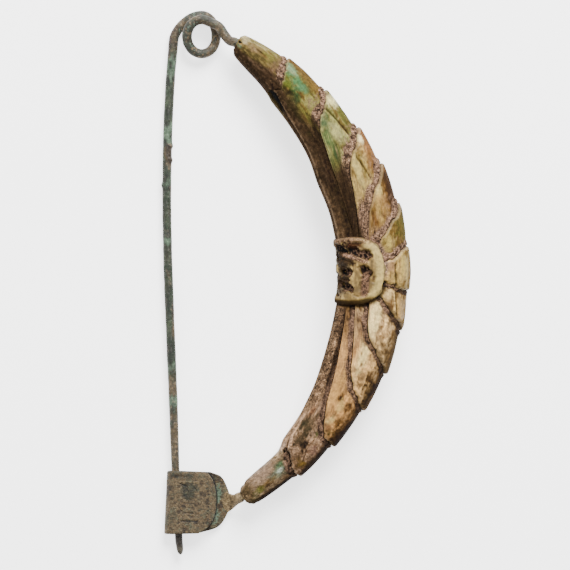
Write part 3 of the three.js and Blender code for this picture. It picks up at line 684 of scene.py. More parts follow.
tint = painted(
    tint,
    (inner_tone, dark * 0.97),
    ((140, 122, 108), dark * smooth((0.6 * fibre + 0.8 * grit - 0.2) / 0.2) * 0.4),
    ((92, 90, 48), olive * 0.45),
    (uneven(colour(160, 138, 121), crust_tone), crusted * 0.9),
    (uneven(colour(126, 106, 92), 1.3 * coarse), dusted),
    # Painted highlight along the ridge at the edge of the inner strip
    ((168, 150, 134), ridge * smooth((0.5 * blot + grit + 0.4) / 0.3) * 0.85),
    # Painted shade in the pocket, in the creases and in the pits
    ((40, 28, 22), pocket),
    ((86, 60, 38), crease / 0.2 * 0.85),
    ((44, 32, 24), pitted / 0.3),
    ((196, 176, 148), worn_rim * np.where(head_half, 0.3, 0.15) * (1 - dark)),
)

# Dirt: pinkish grey and granular towards the keel, darker brown down the long runs and, in the foot half,
# towards the keel, partly dirt and partly painted shadow; painted shadow in the seams and under the boss's
# lower end
pale_from = np.array([0.36, 0.43, 0.43, 0.36, 0.3, 0.3, 0.3, 0.3, 0.2, 0.2, 0.2, 0.2, 0.1])[part]
pale = smooth((share - pale_from) / 0.09)
pale *= np.where(head_half, 1.0, 0.75 - 0.6 * rise(share, 0.72, 0.15))
dirt_and_shadow_colour = colour(96, 76, 61) * (1 - pale)[:, None] + colour(164, 142, 130) * pale[:, None]
crust = dirt * np.where(head_half, 1 - 0.6 * dark, 1.0)
spread = smooth((band_width * 2.2 - foot) / 1.6) * smooth((grit + 0.3 * blot - 0.1) / 0.2) * (share > 0.15)
boss_foot = fall(rim_place, 1.12, 0.08)
shadow_under_boss = np.where(angle < -2, 0.9, 0.0) * boss_foot
above_boss = boss_foot * rise(angle, -2, 2) * rise(share, 0.4, 0.12)
tint = painted(
    tint,
    (uneven(dirt_and_shadow_colour, 0.8 * grit + 0.8 * coarse), crust * 0.95),
    ((84, 66, 54), dirt * smooth((-grit - 0.12) / 0.15) * 0.8),
    (dirt_and_shadow_colour, spread * 0.55),
    # Painted shadow in the seams at the foot of each step and on the bow under the boss's lower end
    ((62, 46, 36), shadowed_seam * np.where(head_half, 0.5, 0.9)),
    ((46, 34, 26), shadow_under_boss),
    (colour(170, 146, 134) * (1 + 0.45 * grit)[:, None], above_boss * 0.9),
)
gritty = np.where(late, 0.45, 0.12) + 0.25 * dark
granular = [dirt * (0.4 + 0.6 * pale), crusted, spread * 0.6, above_boss, gritty]
crumbs = np.clip(np.maximum.reduce(granular), 0, 1)
# Rougher where the tint is dark, from stains and from painted shade alike
dark_tinted = smooth((0.12 - tint.mean(axis=1)) / 0.1)
rough = np.clip(0.25 + dirt + crusted + 0.6 * dark + 0.3 * spread + dark_tinted, 0, 1)
tint = np.clip(tint, 0.003, 0.9)
wear = np.stack([rough, crumbs, np.zeros(len(angle))], axis=1)


def hole_middle(end_angle, out):
    """Middle of the wire's hole in an end of the bow, and the ways across and along the arc there."""
    a = math.radians(end_angle)
    across = np.array([math.cos(a), math.sin(a), 0.0])
    return (BOW_RADIUS + out) * across, across, np.array([-math.sin(a), math.cos(a), 0.0])


def holed_end(rim, end_angle, out, radius, inward):
    """Rows that turn a bow's end in over its rim, and down a round hole for the wire."""
    middle, across, way = hole_middle(end_angle, out)
    spoke = rim - middle
    angle_round = np.arctan2(spoke[:, 2], spoke @ across)
    circle = np.cos(angle_round)[:, None] * across + np.sin(angle_round)[:, None] * np.array([0, 0, 1.0])
    # Share of the way from the rim to the hole, and how far in
    steps = ((0.35, -0.12), (0.7, -0.1), (0.92, 0.0), (1.0, 0.2), (1.0, 1.2), (1.0, HOLE_DEPTH))
    return [middle + spoke * (1 - t) + radius * circle * t + way * inward * push for t, push in steps]


grid = points.reshape(rows, COLUMNS, 3)
tints = tint.reshape(rows, COLUMNS, 3)
wears = wear.reshape(rows, COLUMNS, 3)
lays = fibre_places.reshape(rows, COLUMNS, 3)
head_rows = holed_end(grid[0], HEAD_END, HEAD_HOLE, HOLE_RADIUS, -1)
foot_rows = holed_end(grid[-1], FOOT_END, FOOT_HOLE, HOLE_RADIUS - 0.25, 1)
grid = np.concatenate([np.array(head_rows[::-1]), grid, np.array(foot_rows)])
# Painted shade: the colour gets darker down the holes
light_left = (1.0, 0.9, 0.6, 0.35, 0.2, 0.12)
head_tints = np.array([tints[0] * light for light in light_left[::-1]])
foot_tints = np.array([tints[-1] * light for light in light_left])
tints = np.concatenate([head_tints, tints, foot_tints])
wears, lays = (
    np.concatenate([layer[:1]] * len(light_left) + [layer] + [layer[-1:]] * len(light_left))
    for layer in (wears, lays)
)
bow = skin("carved_bow", grid, tints, wears, lays)
old_bone = weathered("old bone", 0.42, 0.4, 0.5, 1700, 0.00012)
bow.data.materials.append(old_bone)
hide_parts("bow")
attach(bow, "bow_and_catch")

# The boss on the bow's inner side, left standing in the same piece of bone: a rounded block with a rim,
# its top cut into hollows round a few raised strokes, like the eye and bill of a bird
BOSS_ROWS = 120
BOSS_COLUMNS = 230
BOSS_RIM = 0.5
# Cuts: mm across and degrees along at both ends, half width and depth
BOSS_CUTS = [
    (-6.5, 5.7, -5.2, 4.6, 0.9, 0.65),
    (-4.6, 6.1, -2.0, 5.9, 0.8, 0.32),
    (-3.7, 4.7, -0.9, 3.4, 0.9, 0.85),
    (-5.6, -0.3, -4.5, -0.2, 0.75, 0.8),
    (-5.7, -3.2, -4.0, -4.3, 0.8, 0.8),
    (-1.6, 0.1, -0.6, -0.6, 0.85, 0.85),
    (-1.3, -1.9, -1.35, -5.1, 0.85, 0.42),
    (0.3, -1.6, 0.4, -2.3, 0.28, 0.4),
    (-7.06, 5.8, -7.18, 2.0, 0.32, 0.6),
    (-7.11, -0.7, -6.85, -6.0, 0.3, 0.6),
    (-5.9, 2.7, -5.0, 2.4, 0.2, 0.4),
    (-4.3, 2.2, -3.7, 1.5, 0.2, 0.4),
    (-5.8, 1.3, -5.2, 1.0, 0.16, 0.35),
    (-5.5, -1.9, -4.6, -2.1, 0.18, 0.4),
    (-3.3, -5.6, -2.2, -5.9, 0.1, 0.25),
]


def clustered(count):
    """From -1 to 1, closer together towards both ends."""
    t = np.linspace(-1, 1, count)
    return 0.45 * t + 0.55 * np.sin(t * math.pi / 2)


def turn_at(share):
    """Where round the section the bow's width has a given share."""
    edge = math.cos(math.radians(STRIP_EDGE))
    bulge = 1 - (1 - share) * (1 + abs(edge) ** (2 / SECTION_POWER))
    return np.degrees(np.arccos(np.sign(bulge) * np.abs(bulge) ** (SECTION_POWER / 2)))


boss_up, boss_side = np.meshgrid(clustered(BOSS_ROWS), clustered(BOSS_COLUMNS), indexing="ij")
boss_up, boss_side = boss_up.ravel(), boss_side.ravel()
rim_wave = 0.012 * np.sin(boss_up * 9 + 1) + 0.008 * np.sin(boss_up * 21)
boss_start = turn_at((BOSS_REACH + rim_wave) * np.clip(1 - np.abs(boss_up) ** 3, 0, 1) ** (1 / 3))
boss_turn = boss_start + (360 - 2 * boss_start) * (boss_side + 1) / 2
boss_angle = BOSS_MIDDLE + BOSS_HALF * boss_up
boss_base, boss_out = bow_point(boss_angle, boss_turn, 0.0)
boss_share = (1 + section(boss_angle, boss_turn)[0]) / 2
boss_rho = (np.abs(boss_up) ** 3 + (boss_share / BOSS_REACH) ** 3) ** (1 / 3)
boss_flat = np.stack([np.radians(boss_angle) * BOW_RADIUS, boss_out], axis=1)
inward = np.clip((1 - boss_rho) * 6, 0, 9)
rounding = 1 - np.clip(1 - inward / 0.8, 0, 1) ** 2
boss_lift = BOSS_RIM + (BOSS_TOP + 0.05 - BOSS_RIM) * np.sqrt(np.clip(rounding, 0, 1))
boss_front = boss_turn < 180
boss_grit = speckle(boss_base, 0.42, 3, 2)
boss_blot = speckle(boss_base, 2.2, 43, 3)
cut = np.zeros(len(boss_up))
wander = np.stack([speckle(boss_base, 1.1, 44), speckle(boss_base, 1.1, 45)], axis=1) * 0.34
for x0, a0, x1, a1, half_width, deep in BOSS_CUTS:
    gap = gap_to_stroke(boss_flat + wander, across_and_along(x0, a0), across_and_along(x1, a1))
    cut = np.maximum(cut, deep * smooth((half_width - gap + 0.3 * boss_grit) / 0.8 + 0.4))
cut *= np.where(boss_front, 1.0, 0.6)
boss_lift -= 0.5 * fall(boss_share, 0.22, 0.18)
boss_lift += 0.06 * boss_blot + 0.025 * boss_grit - cut

boss_fibre = np.stack([boss_flat[:, 0], boss_out * 4, boss_base[:, 2] * 4], axis=1)
boss_streak = speckle(boss_fibre, (4, 3, 3), 46, 3)
inner_side = fall(boss_share, 0.2, 0.12)
cream = rise(boss_rho, 0.78, 0.08) * rise(boss_share, 0.3, 0.1)
pinkish = rise(boss_angle, 5.6, 0.8) * rise(boss_grit, -0.5, 0.5)
low_rim = fall(boss_angle, -5.2, 0.8)
shaded_underside = fall(inward, 1.0, 0.5) * fall(boss_angle, -5, 1.5)
corner = 1.3 - np.hypot((boss_out + 5.4) / 2.1, (boss_angle - 3.4) / 3.4)
corner = np.maximum(corner, 1.1 - np.hypot((boss_out + 5.6) / 1.5, (boss_angle + 2.2) / 3.4))
corner = smooth((corner + 0.9 * boss_grit + 0.5 * boss_blot - 0.1) / 0.45) * boss_front
hollow = rise(cut, 0.16, 0.4)
grains = hollow * smooth((boss_grit + 0.3 * boss_blot - 0.12) / 0.15)
brown_spot = smooth(1.3 - np.hypot((boss_out + 3.3) / 1.9, (boss_angle - 6.0) / 0.8) + 0.4 * boss_blot)
groove = gap_to_stroke(boss_flat, across_and_along(-1.3, -1.2), across_and_along(-1.35, -5.2))
groove = fall(groove, 0.95, 0.4) * boss_front
diagonal = gap_to_stroke(boss_flat, across_and_along(-5.4, 4.0), across_and_along(-1.05, 1.9))
diagonal = fall(diagonal, 0.55, 0.3) * boss_front
rubbed = rise(inward, 0.7, 0.3) * fall(cut, 0.06, 0.06) * rise(boss_streak, 0.1, 0.3)
wall = fall(inward, 0.25, 0.2)
boss_tint = painted(
    uneven(colour(158, 132, 88), 0.6 * boss_blot + 0.7 * boss_streak),
    (uneven(colour(118, 98, 70), 0.8 * boss_grit), inner_side * 0.75),
    ((206, 186, 142), cream * 0.85),
    ((176, 152, 138), pinkish * 0.75),
    ((172, 146, 100), low_rim * 0.5),
    # Painted shade under the boss's lower rim
    ((96, 74, 50), shaded_underside * 0.9),
    (uneven(colour(100, 80, 62), 1.1 * boss_grit), corner * 0.9),
    # Painted shade darkens the cut hollows; pinkish grains of dirt lie in them
    (uneven(colour(62, 48, 38), 0.8 * boss_grit), hollow * 0.96),
    ((154, 132, 120), grains * 0.8),
    (uneven(colour(122, 84, 62), 0.8 * boss_grit), brown_spot * 0.85 * boss_front),
    (uneven(colour(158, 134, 122), 0.8 * boss_grit), groove * 0.8),
    (colour(172, 148, 136) * (1 + 0.4 * boss_grit)[:, None], diagonal * 0.75),
    ((214, 190, 146), rubbed * 0.5),
    # Painted shade down the boss's outer walls
    ((112, 86, 64), wall * 0.7),
)
boss_crumbs = np.clip(np.maximum(diagonal, pinkish * 0.7) + 0.5 * hollow + 0.5 * corner + 0.6 * groove, 0, 1)
boss_rough = np.clip(0.35 + hollow + boss_crumbs + shaded_underside, 0, 1)
boss_wear = np.stack([boss_rough, boss_crumbs, 0 * hollow], axis=1)


def with_foot(values, deeper):
    """A rim of two rows and columns all round a grid, for the wall that goes down into the bow."""
    around = np.concatenate([values[:1], values[:1], values, values[-1:], values[-1:]])
    around = np.concatenate([around[:, :1], around[:, :1], around, around[:, -1:], around[:, -1:]], axis=1)
    for depth, rim in ((deeper, 0), (deeper / 3, 1)):
        around[rim] -= depth
        around[-1 - rim] -= depth
        around[rim + 1 : -1 - rim, rim] -= depth
        around[rim + 1 : -1 - rim, -1 - rim] -= depth
    return around


shape = (BOSS_ROWS, BOSS_COLUMNS)
boss_lifts = with_foot(boss_lift.reshape(shape), 1.0)
boss_angles = with_foot(boss_angle.reshape(shape), 0.0)
boss_turns = with_foot(boss_turn.reshape(shape), 0.0)
boss_points = bow_point(boss_angles.ravel(), boss_turns.ravel(), boss_lifts.ravel())[0]
boss_tint = np.clip(boss_tint, 0.003, 0.9).reshape(*shape, 3)
boss = skin(
    "carved_boss",
    boss_points.reshape(*boss_lifts.shape, 3),
    with_foot(boss_tint, 0.0),
    with_foot(boss_wear.reshape(*shape, 3), 0.0),
    with_foot(boss_base.reshape(*shape, 3), 0.0),
)
boss.data.materials.append(old_bone)
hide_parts("bow")
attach(boss, "bow_and_catch")

# The head wire: bronze wire of round section that comes out of the bow's head and makes one turn,
# the brooch's spring. It is bent cold, and its end under the front strand goes on as the pin.
WIRE = 1.0
TOUCH_GAP = 0.3
COIL_WIDE = 3.05
COIL_TALL = 3.55
COIL_START = 62
COIL_SPLIT = 402
COIL_LEAVE = 540
COIL_DROP = 2 * WIRE + TOUCH_GAP
LEAVE_WIDE = 5.75
LEAVE_TALL = 4.55
WIRE_SIDES = 36
WIRE_STEP = 0.16


def coil_point(turned):
    """A place on the coil, which widens into the pin after one whole turn."""
    past = np.maximum(0, (turned - 360) / (COIL_LEAVE - 360))
    wide = COIL_WIDE + (LEAVE_WIDE - COIL_WIDE) * past**1.6
    tall = COIL_TALL + (LEAVE_TALL - COIL_TALL) * np.sin(np.minimum(1, past * 1.8) * math.pi / 2)
    drop = rise(turned, 100, 260)
    a = np.radians(turned)
    x = COIL_MIDDLE[0] + wide * np.cos(a)
    y = COIL_MIDDLE[1] + tall * np.sin(a)
    return np.stack([x, y, -COIL_DROP * drop], axis=-1)


def through(knots, count):
    """A smooth run of points through a few knots."""
    knots = np.array(knots, float)
    ends = np.concatenate([2 * knots[:1] - knots[1:2], knots, 2 * knots[-1:] - knots[-2:-1]])
    made = []
    for i in range(len(knots) - 1):
        a, b, c, d = ends[i : i + 4]
        for t in np.linspace(0, 1, count, endpoint=False):
            bend = (2 * a - 5 * b + 4 * c - d) * t * t
            made.append(0.5 * (2 * b + (c - a) * t + bend + (3 * b - a - 3 * c + d) * t**3))
    made.append(knots[-1])
    return np.array(made)


def even_run(run, count=None):
    """The same run with its points an even spacing apart. What goes with them is in its last columns."""
    lengths = np.concatenate([[0], np.cumsum(np.linalg.norm(np.diff(run[:, :3], axis=0), axis=1))])
    count = count or max(2, int(lengths[-1] / WIRE_STEP))
    places = np.linspace(0, lengths[-1], count)
    return np.stack([np.interp(places, lengths, column) for column in run.T], axis=1)


def square_to(path):
    """The ways to the side and to the front at each point of a path."""
    ways = np.gradient(path, axis=0)
    ways /= np.linalg.norm(ways, axis=1)[:, None]
    sides = np.cross(ways, np.array([0, 0, 1.0]))
    sides /= np.linalg.norm(sides, axis=1)[:, None]
    return sides, np.cross(sides, ways)


def wire_skin(path, radii, seed, pits=0.05):
    """A bronze wire along a path: its surface pitted and crusted, green in patches."""
    run = even_run(np.column_stack([path, radii]))
    path, radii = run[:, :3], run[:, 3]
    sides, tops = square_to(path)
    around = np.arange(WIRE_SIDES) * 2 * math.pi / WIRE_SIDES
    spokes = sides[:, None] * np.cos(around)[None, :, None] + tops[:, None] * np.sin(around)[None, :, None]
    shell = (path[:, None] + spokes * radii[:, None, None]).reshape(-1, 3)
    crust_bumps = speckle(shell, 0.9, seed, 3)
    lumps = speckle(shell, 3.0, seed + 1, 2)
    swell = 1 + pits * crust_bumps + 0.05 * lumps
    made = path[:, None] + spokes * (radii[:, None] * swell.reshape(len(path), -1))[..., None]
    fine_grit = speckle(shell, 0.45, seed + 2, 2)
    bronze = painted(
        uneven(colour(134, 121, 102), 0.7 * crust_bumps),
        ((84, 78, 64), rise(lumps, 0.05, 0.25) * 0.75),
        ((96, 110, 94), smooth((crust_bumps * 0.6 + lumps * 0.6 + 0.04) / 0.2) * 0.6),
        ((136, 160, 144), smooth((fine_grit + 0.5 * lumps - 0.5) / 0.15) * 0.7),
        ((176, 156, 132), smooth((-fine_grit - 0.3) / 0.2) * 0.6),
    )
    dull = np.stack([np.clip(0.35 + 0.4 * fine_grit, 0, 1), 0.4 + 0 * lumps, 0 * lumps], axis=1)
    return path, made, bronze.reshape(made.shape), dull.reshape(made.shape), shell.reshape(made.shape)


head_mouth, _, head_way = hole_middle(HEAD_END, HEAD_HOLE)
strand = through(
    [
        head_mouth - head_way * 2.8,
        head_mouth - head_way * 1.0,
        head_mouth + head_way * 0.6,
        (24.85, 48.45, 0),
        (23.5, 50.2, 0),
        (22.5, 51.45, 0),
        coil_point(np.array(float(COIL_START))),
    ],
    10,
)
ring = coil_point(np.arange(COIL_START + 3.0, COIL_SPLIT + 1, 3.0))
wire_path = np.concatenate([strand, ring])
path, made, bronze, dull, shell = wire_skin(wire_path, np.full(len(wire_path), WIRE), 51)
wire = skin("spring_coil", made, bronze, dull, shell)
old_bronze = weathered("corroded bronze", 0.4, 0.5, 1.3, 2600, 0.00018)
wire.data.materials.append(old_bronze)
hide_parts("head_wire")
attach(wire, "bow_and_catch")

# The pin: the same wire, drawn out to a long point. It springs against the fold of the catch,
# and turns with the coil when it is pressed in towards the bow.
PIN_LINE = [
    (41, 12.5, 0.97),
    (30, 11.97, 0.97),
    (17, 11.74, 0.95),
    (3, 11.94, 0.95),
    (-14, 12.56, 0.95),
    (-28, 13.13, 0.92),
    (-42, 13.6, 0.85),
    (-55, 14.22, 0.8),
    (-58.2, 14.5, 0.7),
    (-59.2, 14.62, 0.45),
    (-59.6, 14.66, 0.12),
]
PIN_CATCH_Z = -1.0
PIN_CATCH_Y = -48
# Pale green patches: place along the pin and half length. Lumps: place along, and right or left
MINT = [(43, 2.0), (29, 1.3), (18.4, 1.1), (6.1, 0.8), (-20.3, 0.8), (-27.4, 1.2)]
LUMPS = [(26.3, 1), (23.3, 1), (18.1, -1)]

start = coil_point(np.arange(COIL_SPLIT + 5.0, COIL_LEAVE + 8, 3.0))
drawn = through([(x, y, r) for y, x, r in PIN_LINE], 12)
climb = (COIL_MIDDLE[1] - 8 - drawn[:, 1]) / (COIL_MIDDLE[1] - 8 - PIN_CATCH_Y)
pin_z = -COIL_DROP + (PIN_CATCH_Z + COIL_DROP) * np.maximum(0, climb)
pin_path = np.concatenate([start, np.stack([drawn[:, 0], drawn[:, 1], pin_z], axis=1)])
pin_radii = np.concatenate([np.full(len(start), WIRE), np.maximum(0.1, drawn[:, 2])])
path, made, bronze, dull, shell = wire_skin(pin_path, pin_radii, 61)
facing = shell - path[:, None]
pin_y = shell[..., 1].ravel()
drift = speckle(shell.reshape(-1, 3), (1.2, 4, 1.2), 63, 3)
flecks = speckle(shell.reshape(-1, 3), (0.7, 1.6, 0.7), 64, 2)
green_run = rise(pin_y, -26, 6) * fall(pin_y, 48, 3)
green = green_run * rise(drift, -0.35, 0.3)
pale_green = uneven(colour(124, 152, 130), 0.9 * flecks)
mints = [smooth(1.3 - np.abs(pin_y - middle_y) / long + 1.6 * flecks) for middle_y, long in MINT]
# On the pin's left side near the coil: a reddish crust together with painted shade
red_and_shaded_side = smooth((-facing[..., 0].ravel() - 0.3) / 0.4)
red_and_shaded_side *= rise(pin_y, 44.5, 1.5) * fall(pin_y, 52, 1.5)
bronze = painted(
    bronze.reshape(-1, 3) * 0.85,
    (uneven(colour(84, 103, 80), 1.3 * flecks), green * 0.85),
    ((84, 66, 58), green_run * smooth((-drift - 0.3) / 0.2) * 0.7),
    *[(pale_green, mint * 0.6) for mint in mints],
    ((78, 62, 52), fall(pin_y, -54.6, 0.6) * 0.85),
    ((122, 118, 106), fall(pin_y, -57.3, 1.2) * 0.8),
    ((112, 62, 56), red_and_shaded_side * 0.7),
)
for lump_y, way in LUMPS:
    lump = 0.25 * np.exp(-(((shell[..., 1] - lump_y) / 0.5) ** 2)) * np.clip(way * facing[..., 0], 0, 1)
    made = made + facing * lump[..., None]
pin = skin("long_pin", made, bronze.reshape(made.shape), dull, shell)
pin.data.materials.append(old_bronze)
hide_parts("sprung_pin")
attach(pin, "pin")

# The catch plate: the wire's other end, hammered out flat and folded over at the left to take the pin,
# so that a flap lies in front of the back plate. A narrow neck joins it to the bow's foot.
PLATE = 0.6
SLOT = 0.85 + TOUCH_GAP
FOLD_TOP = (11.8, -42.0)
FOLD_BOTTOM = (11.2, -55.25)
BACK_EDGE = [
    (20.9, -42.3),
    (23.2, -43.3),
    (24.5, -45.7),
    (25.15, -48.4),
    (24.3, -51.4),
    (22.4, -53.9),
    (18.7, -55.1),
]
FLAP_EDGE = [
    (20.4, -42.3),
    (21.5, -44.0),
    (22.1, -46.6),
    (22.15, -48.9),
    (21.8, -51.3),
    (20.7, -53.5),
    (18.4, -55.1),
]
AROUND_FOLD = PLATE / 2 + SLOT
LENGTHS = 96
FLAP_STEPS = 70
FOLD_STEPS = 26

fold_line = np.linspace(FOLD_TOP, FOLD_BOTTOM, LENGTHS) + np.array([PLATE / 2 + AROUND_FOLD, 0])
flap_edge, back_edge = (
    even_run(through([(x, y, 0) for x, y in knots], 16), LENGTHS)[:, :2] for knots in (FLAP_EDGE, BACK_EDGE)
)
middle_rows = []
normal_rows = []
for t in np.linspace(1, 0, FLAP_STEPS, endpoint=False):
    spot = fold_line * (1 - t) + flap_edge * t
    middle_rows.append(np.column_stack([spot, np.full(LENGTHS, PIN_CATCH_Z + AROUND_FOLD)]))
    normal_rows.append((0, 0, 1))
for t in np.linspace(0, math.pi, FOLD_STEPS, endpoint=False):
    spot = fold_line - np.array([AROUND_FOLD * math.sin(t), 0])
    middle_rows.append(np.column_stack([spot, np.full(LENGTHS, PIN_CATCH_Z + AROUND_FOLD * math.cos(t))]))
    normal_rows.append((-math.sin(t), 0, math.cos(t)))
for t in np.linspace(0, 1, FLAP_STEPS):
    spot = fold_line * (1 - t) + back_edge * t
    middle_rows.append(np.column_stack([spot, np.full(LENGTHS, PIN_CATCH_Z - AROUND_FOLD)]))
    normal_rows.append((0, 0, -1))
middles = np.array(middle_rows)
normals = np.repeat(np.array(normal_rows)[:, None], LENGTHS, axis=1)
count = len(middles)
# The plate is thinned to a rounded edge all round
place_along = np.linspace(-1, 1, LENGTHS)
edge_along = np.sqrt(np.clip(1 - np.abs(place_along) ** 60, 0, 1))
place_across = np.abs(np.linspace(-1, 1, count))
edge_across = np.sqrt(np.clip(1 - place_across**90, 0, 1))
thin = np.outer(edge_across, edge_along) * PLATE / 2
flat_middles = middles.reshape(-1, 3)
bumps = speckle(flat_middles, 1.2, 71, 3).reshape(count, LENGTHS)
fine_bumps = speckle(flat_middles, 0.4, 72, 2).reshape(count, LENGTHS)
# Ornament on the flap: worn strokes and a row of punched dots
# Strokes: both ends, half width, and depth of the cut, less than zero where the stroke stands up
LINES = [
    ((14.4, -44.3), (18.6, -44.3), 0.14, -0.1),
    ((12.0, -53.0), (14.6, -53.1), 0.12, -0.08),
    ((15.4, -51.95), (18.2, -52.0), 0.1, -0.08),
    ((12.9, -43.2), (15.8, -43.2), 0.26, 0.07),
    ((14.7, -44.7), (15.9, -45.2), 0.24, 0.16),
    ((15.8, -45.6), (16.4, -46.4), 0.16, 0.12),
    ((17.2, -45.1), (18.2, -46.2), 0.16, 0.1),
    ((15.5, -47.0), (17.4, -47.2), 0.12, 0.12),
    ((15.4, -47.9), (17.6, -48.1), 0.14, 0.13),
    ((15.3, -48.7), (17.6, -48.9), 0.12, 0.12),
    ((15.5, -49.6), (17.4, -49.7), 0.1, 0.1),
    ((14.0, -49.2), (14.7, -50.2), 0.1, 0.1),
    ((14.7, -50.2), (15.6, -50.8), 0.12, 0.12),
    ((15.6, -50.8), (17.4, -50.85), 0.14, 0.18),
    ((15.8, -51.55), (17.5, -51.6), 0.1, 0.14),
    ((14.8, -52.5), (18.0, -52.6), 0.24, 0.12),
    ((18.3, -45.0), (18.9, -46.8), 0.1, 0.06),
]
flap = np.arange(count) < FLAP_STEPS
carve = np.zeros((count, LENGTHS))
raised = np.zeros((count, LENGTHS))
for (x0, y0), (x1, y1), half_width, deep in LINES:
    begin = np.array([x0, y0])
    way = np.array([x1 - x0, y1 - y0])
    spot = middles[..., :2] - begin
    t = np.clip((spot @ way) / (way @ way), 0, 1)
    gap = np.linalg.norm(spot - t[..., None] * way, axis=-1) + 0.05 * fine_bumps
    carve = np.maximum(carve, deep * smooth((half_width - gap) / 0.12))
    raised = np.maximum(raised, -deep * smooth((half_width - gap) / 0.12))
DOTS = 12
for i in range(DOTS):
    y = -45.6 - 7.4 * i / (DOTS - 1)
    x = 20.6 - 0.055 * (y + 48.5) ** 2
    gap = np.hypot(middles[..., 0] - x, middles[..., 1] - y)
    carve = np.maximum(carve, 0.12 * fall(gap, 0.24, 0.14))
carve *= flap[:, None]
raised *= flap[:, None]
outside = middles + normals * (thin + 0.035 * bumps + 0.02 * fine_bumps - carve + raised)[..., None]
inside = middles - normals * (thin + 0.02 * bumps)[..., None]
plate_grid = np.concatenate([outside, inside[:, ::-1]], axis=1)
patchy, grainy = bumps.ravel(), fine_bumps.ravel()
x_flat, y_flat = flat_middles[:, 0], flat_middles[:, 1]
patch = smooth((1.0 - np.hypot((x_flat - 16.3) / 2.0, (y_flat + 46.2) / 2.4)) / 0.4)
top_corner = rise(y_flat, -44, 0.6) * fall(x_flat, 18.5, 1.5) * (0.6 + grainy)
back = np.repeat(np.arange(count) >= FLAP_STEPS + FOLD_STEPS, LENGTHS)
to_flap = np.min(np.hypot(x_flat[:, None] - flap_edge[:, 0], y_flat[:, None] - flap_edge[:, 1]), axis=1)
beside = smooth((0.95 - to_flap + 0.5 * grainy) / 0.25) * back * (x_flat > 20.2)
plate_tint = painted(
    uneven(colour(140, 126, 106), 0.5 * patchy + 0.5 * grainy),
    ((98, 108, 88), rise(patchy, 0.02, 0.25) * 0.6),
    ((74, 62, 50), smooth((-patchy - 0.18) / 0.2) * 0.6),
    ((122, 142, 120), rise(grainy, 0.36, 0.2) * 0.5),
    ((154, 134, 112), smooth((-grainy - 0.3) / 0.2) * 0.5),
    ((56, 48, 40), smooth((carve.ravel() - 0.03) / 0.08) * 0.8),
    ((160, 146, 124), smooth((raised.ravel() - 0.02) / 0.04) * 0.6),
    ((76, 92, 74), patch * np.repeat(flap, LENGTHS) * 0.6),
    ((84, 94, 78), top_corner * 0.7),
    ((128, 154, 134), beside * rise(patchy, -0.3, 0.3) * 0.8),
    # Painted shadow of the flap's free edge on the back plate
    ((44, 38, 30), fall(to_flap, 0.32, 0.15) * back * 0.9),
)
plate_tint = np.clip(plate_tint, 0.004, 0.9).reshape(count, LENGTHS, 3)
plate_tints = np.concatenate([plate_tint, plate_tint[:, ::-1]], axis=1)
plate_wear = np.full(plate_grid.shape, 0.5)
plate = skin("folded_catch", plate_grid, plate_tints, plate_wear, plate_grid)

# The neck, one with the plate: flat where it leaves the plate, and round in the hole of the bow's foot
# Each knot: place, half width and half thickness
foot_mouth, _, foot_way = hole_middle(FOOT_END, FOOT_HOLE)
low = PIN_CATCH_Z - AROUND_FOLD
NECK = [
    (foot_mouth + foot_way * 2.6, 0.75, 0.75),
    (foot_mouth - foot_way * 0.1, 0.75, 0.75),
    (foot_mouth - foot_way * 0.35, 1.05, 0.9),
    ((26.9, -47.65, -0.25), 1.15, 0.85),
    ((26.2, -48.05, -0.8), 1.15, 0.7),
    ((25.3, -48.35, -1.8), 1.65, 0.5),
    ((24.4, -48.5, low + 0.12), 2.3, 0.4),
    ((23.2, -48.5, low), 3.0, PLATE / 2 - 0.03),
    ((22.0, -48.5, low), 3.4, PLATE / 2 - 0.05),
]
neck_path = through([spot for spot, wide, thick in NECK], 8)
neck_sizes = through([(wide, thick, 0) for spot, wide, thick in NECK], 8)
sides, tops = square_to(neck_path)
around = np.arange(40) * math.pi / 20
neck_grid = (
    neck_path[:, None]
    + sides[:, None] * (neck_sizes[:, :1] * np.cos(around))[..., None]
    + tops[:, None] * (neck_sizes[:, 1:2] * np.sin(around))[..., None]
)
neck_flat = neck_grid.reshape(-1, 3)
neck_bumps = speckle(neck_flat, 0.9, 81, 3)
neck_specks = speckle(neck_flat, 0.5, 82, 2)
on_plate = smooth((24.9 - neck_flat[:, 0]) / 0.8)
neck_tint = painted(
    uneven(colour(180, 164, 142), 0.9 * neck_bumps),
    ((110, 112, 88), smooth(neck_bumps / 0.3) * 0.5),
    ((98, 84, 66), smooth((-neck_specks - 0.2) / 0.2) * 0.55),
    (uneven(colour(158, 142, 118), 0.8 * neck_bumps), on_plate * 0.8),
)
neck_grid = neck_grid + tops[:, None] * (0.04 * neck_bumps.reshape(neck_grid.shape[:2]))[..., None]
neck_tint = neck_tint.reshape(neck_grid.shape)
neck = skin("catch_neck", neck_grid, neck_tint, np.full(neck_grid.shape, 0.5), neck_grid)
for piece in (plate, neck):
    piece.data.materials.append(old_bronze)
    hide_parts("catch_plate")
    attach(piece, "bow_and_catch")

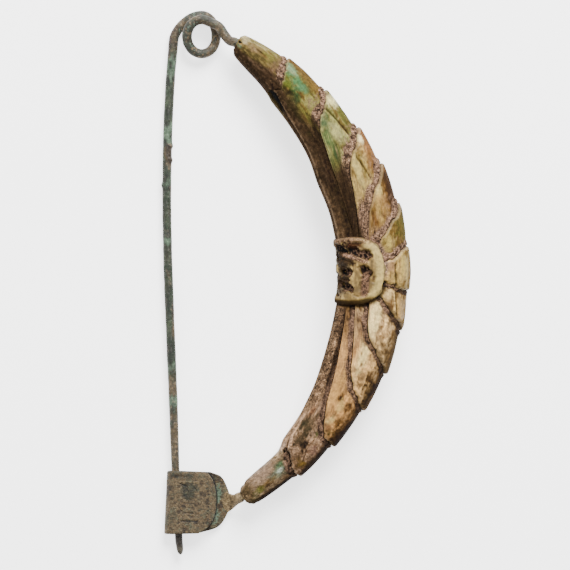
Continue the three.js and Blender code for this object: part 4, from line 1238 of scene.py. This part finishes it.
# The stage: white paper on a table, under two soft studio lights.
# The camera looks square on to the brooch's front from well above, through a long lens.
PIXEL = 0.21 * MM
VIEW_MIDDLE = (36.6, -2.94, 0.0)
LENS = 300
SENSOR = 36
IMAGE = 570
TABLE_SIZE = 2.0
PAPER_GLOW = 1.9
floor_form = bmesh.new()
bmesh.ops.create_grid(floor_form, x_segments=1, y_segments=1, size=TABLE_SIZE)
floor_mesh = bpy.data.meshes.new("table")
floor_form.to_mesh(floor_mesh)
floor_form.free()
floor = bpy.data.objects.new("table", floor_mesh)
bpy.context.scene.collection.objects.link(floor)
paper = bpy.data.materials.new("white paper")
paper.use_nodes = True
paper_sockets = paper.node_tree.nodes["Principled BSDF"].inputs
paper_sockets["Base Color"].default_value = (0.9, 0.9, 0.9, 1)
paper_sockets["Roughness"].default_value = 0.9
paper_sockets["Emission Color"].default_value = (1, 1, 1, 1)
paper_sockets["Emission Strength"].default_value = PAPER_GLOW
floor.data.materials.append(paper)
floor.location.z = -0.0002

world = bpy.data.worlds.new("studio")
world.use_nodes = True
world.node_tree.nodes["Background"].inputs["Color"].default_value = (1, 1, 1, 1)
world.node_tree.nodes["Background"].inputs["Strength"].default_value = 0.6
bpy.context.scene.world = world

aim = Vector((np.array(VIEW_MIDDLE) @ laid[:3, :3].T + laid[:3, 3]).tolist())
square_on = Vector(hinge["axis"]).normalized()
upward = Vector(laid[:3, 1]).normalized()


def soft_light(name, direction, size, power):
    lamp = bpy.data.lights.new(name, "AREA")
    lamp.size = size
    lamp.energy = power
    holder = bpy.data.objects.new(name, lamp)
    holder.location = aim + Vector(direction)
    holder.rotation_euler = (-Vector(direction)).to_track_quat("-Z", "Y").to_euler()
    bpy.context.scene.collection.objects.link(holder)


soft_light("key light", (0.14, 0.64, 0.6), 0.5, 28)
soft_light("fill light", (-0.5, -0.2, 0.7), 0.6, 3)

camera_data = bpy.data.cameras.new("camera")
camera_data.lens = LENS
camera_data.sensor_width = SENSOR
distance = IMAGE * PIXEL * LENS / SENSOR
camera_data.clip_end = 10
camera = bpy.data.objects.new("camera", camera_data)
bpy.context.scene.collection.objects.link(camera)
side = upward.cross(square_on).normalized()
turned_view = Matrix((side, square_on.cross(side), square_on)).transposed()
camera.matrix_world = Matrix.Translation(aim + square_on * distance) @ turned_view.to_4x4()
bpy.context.scene.camera = camera
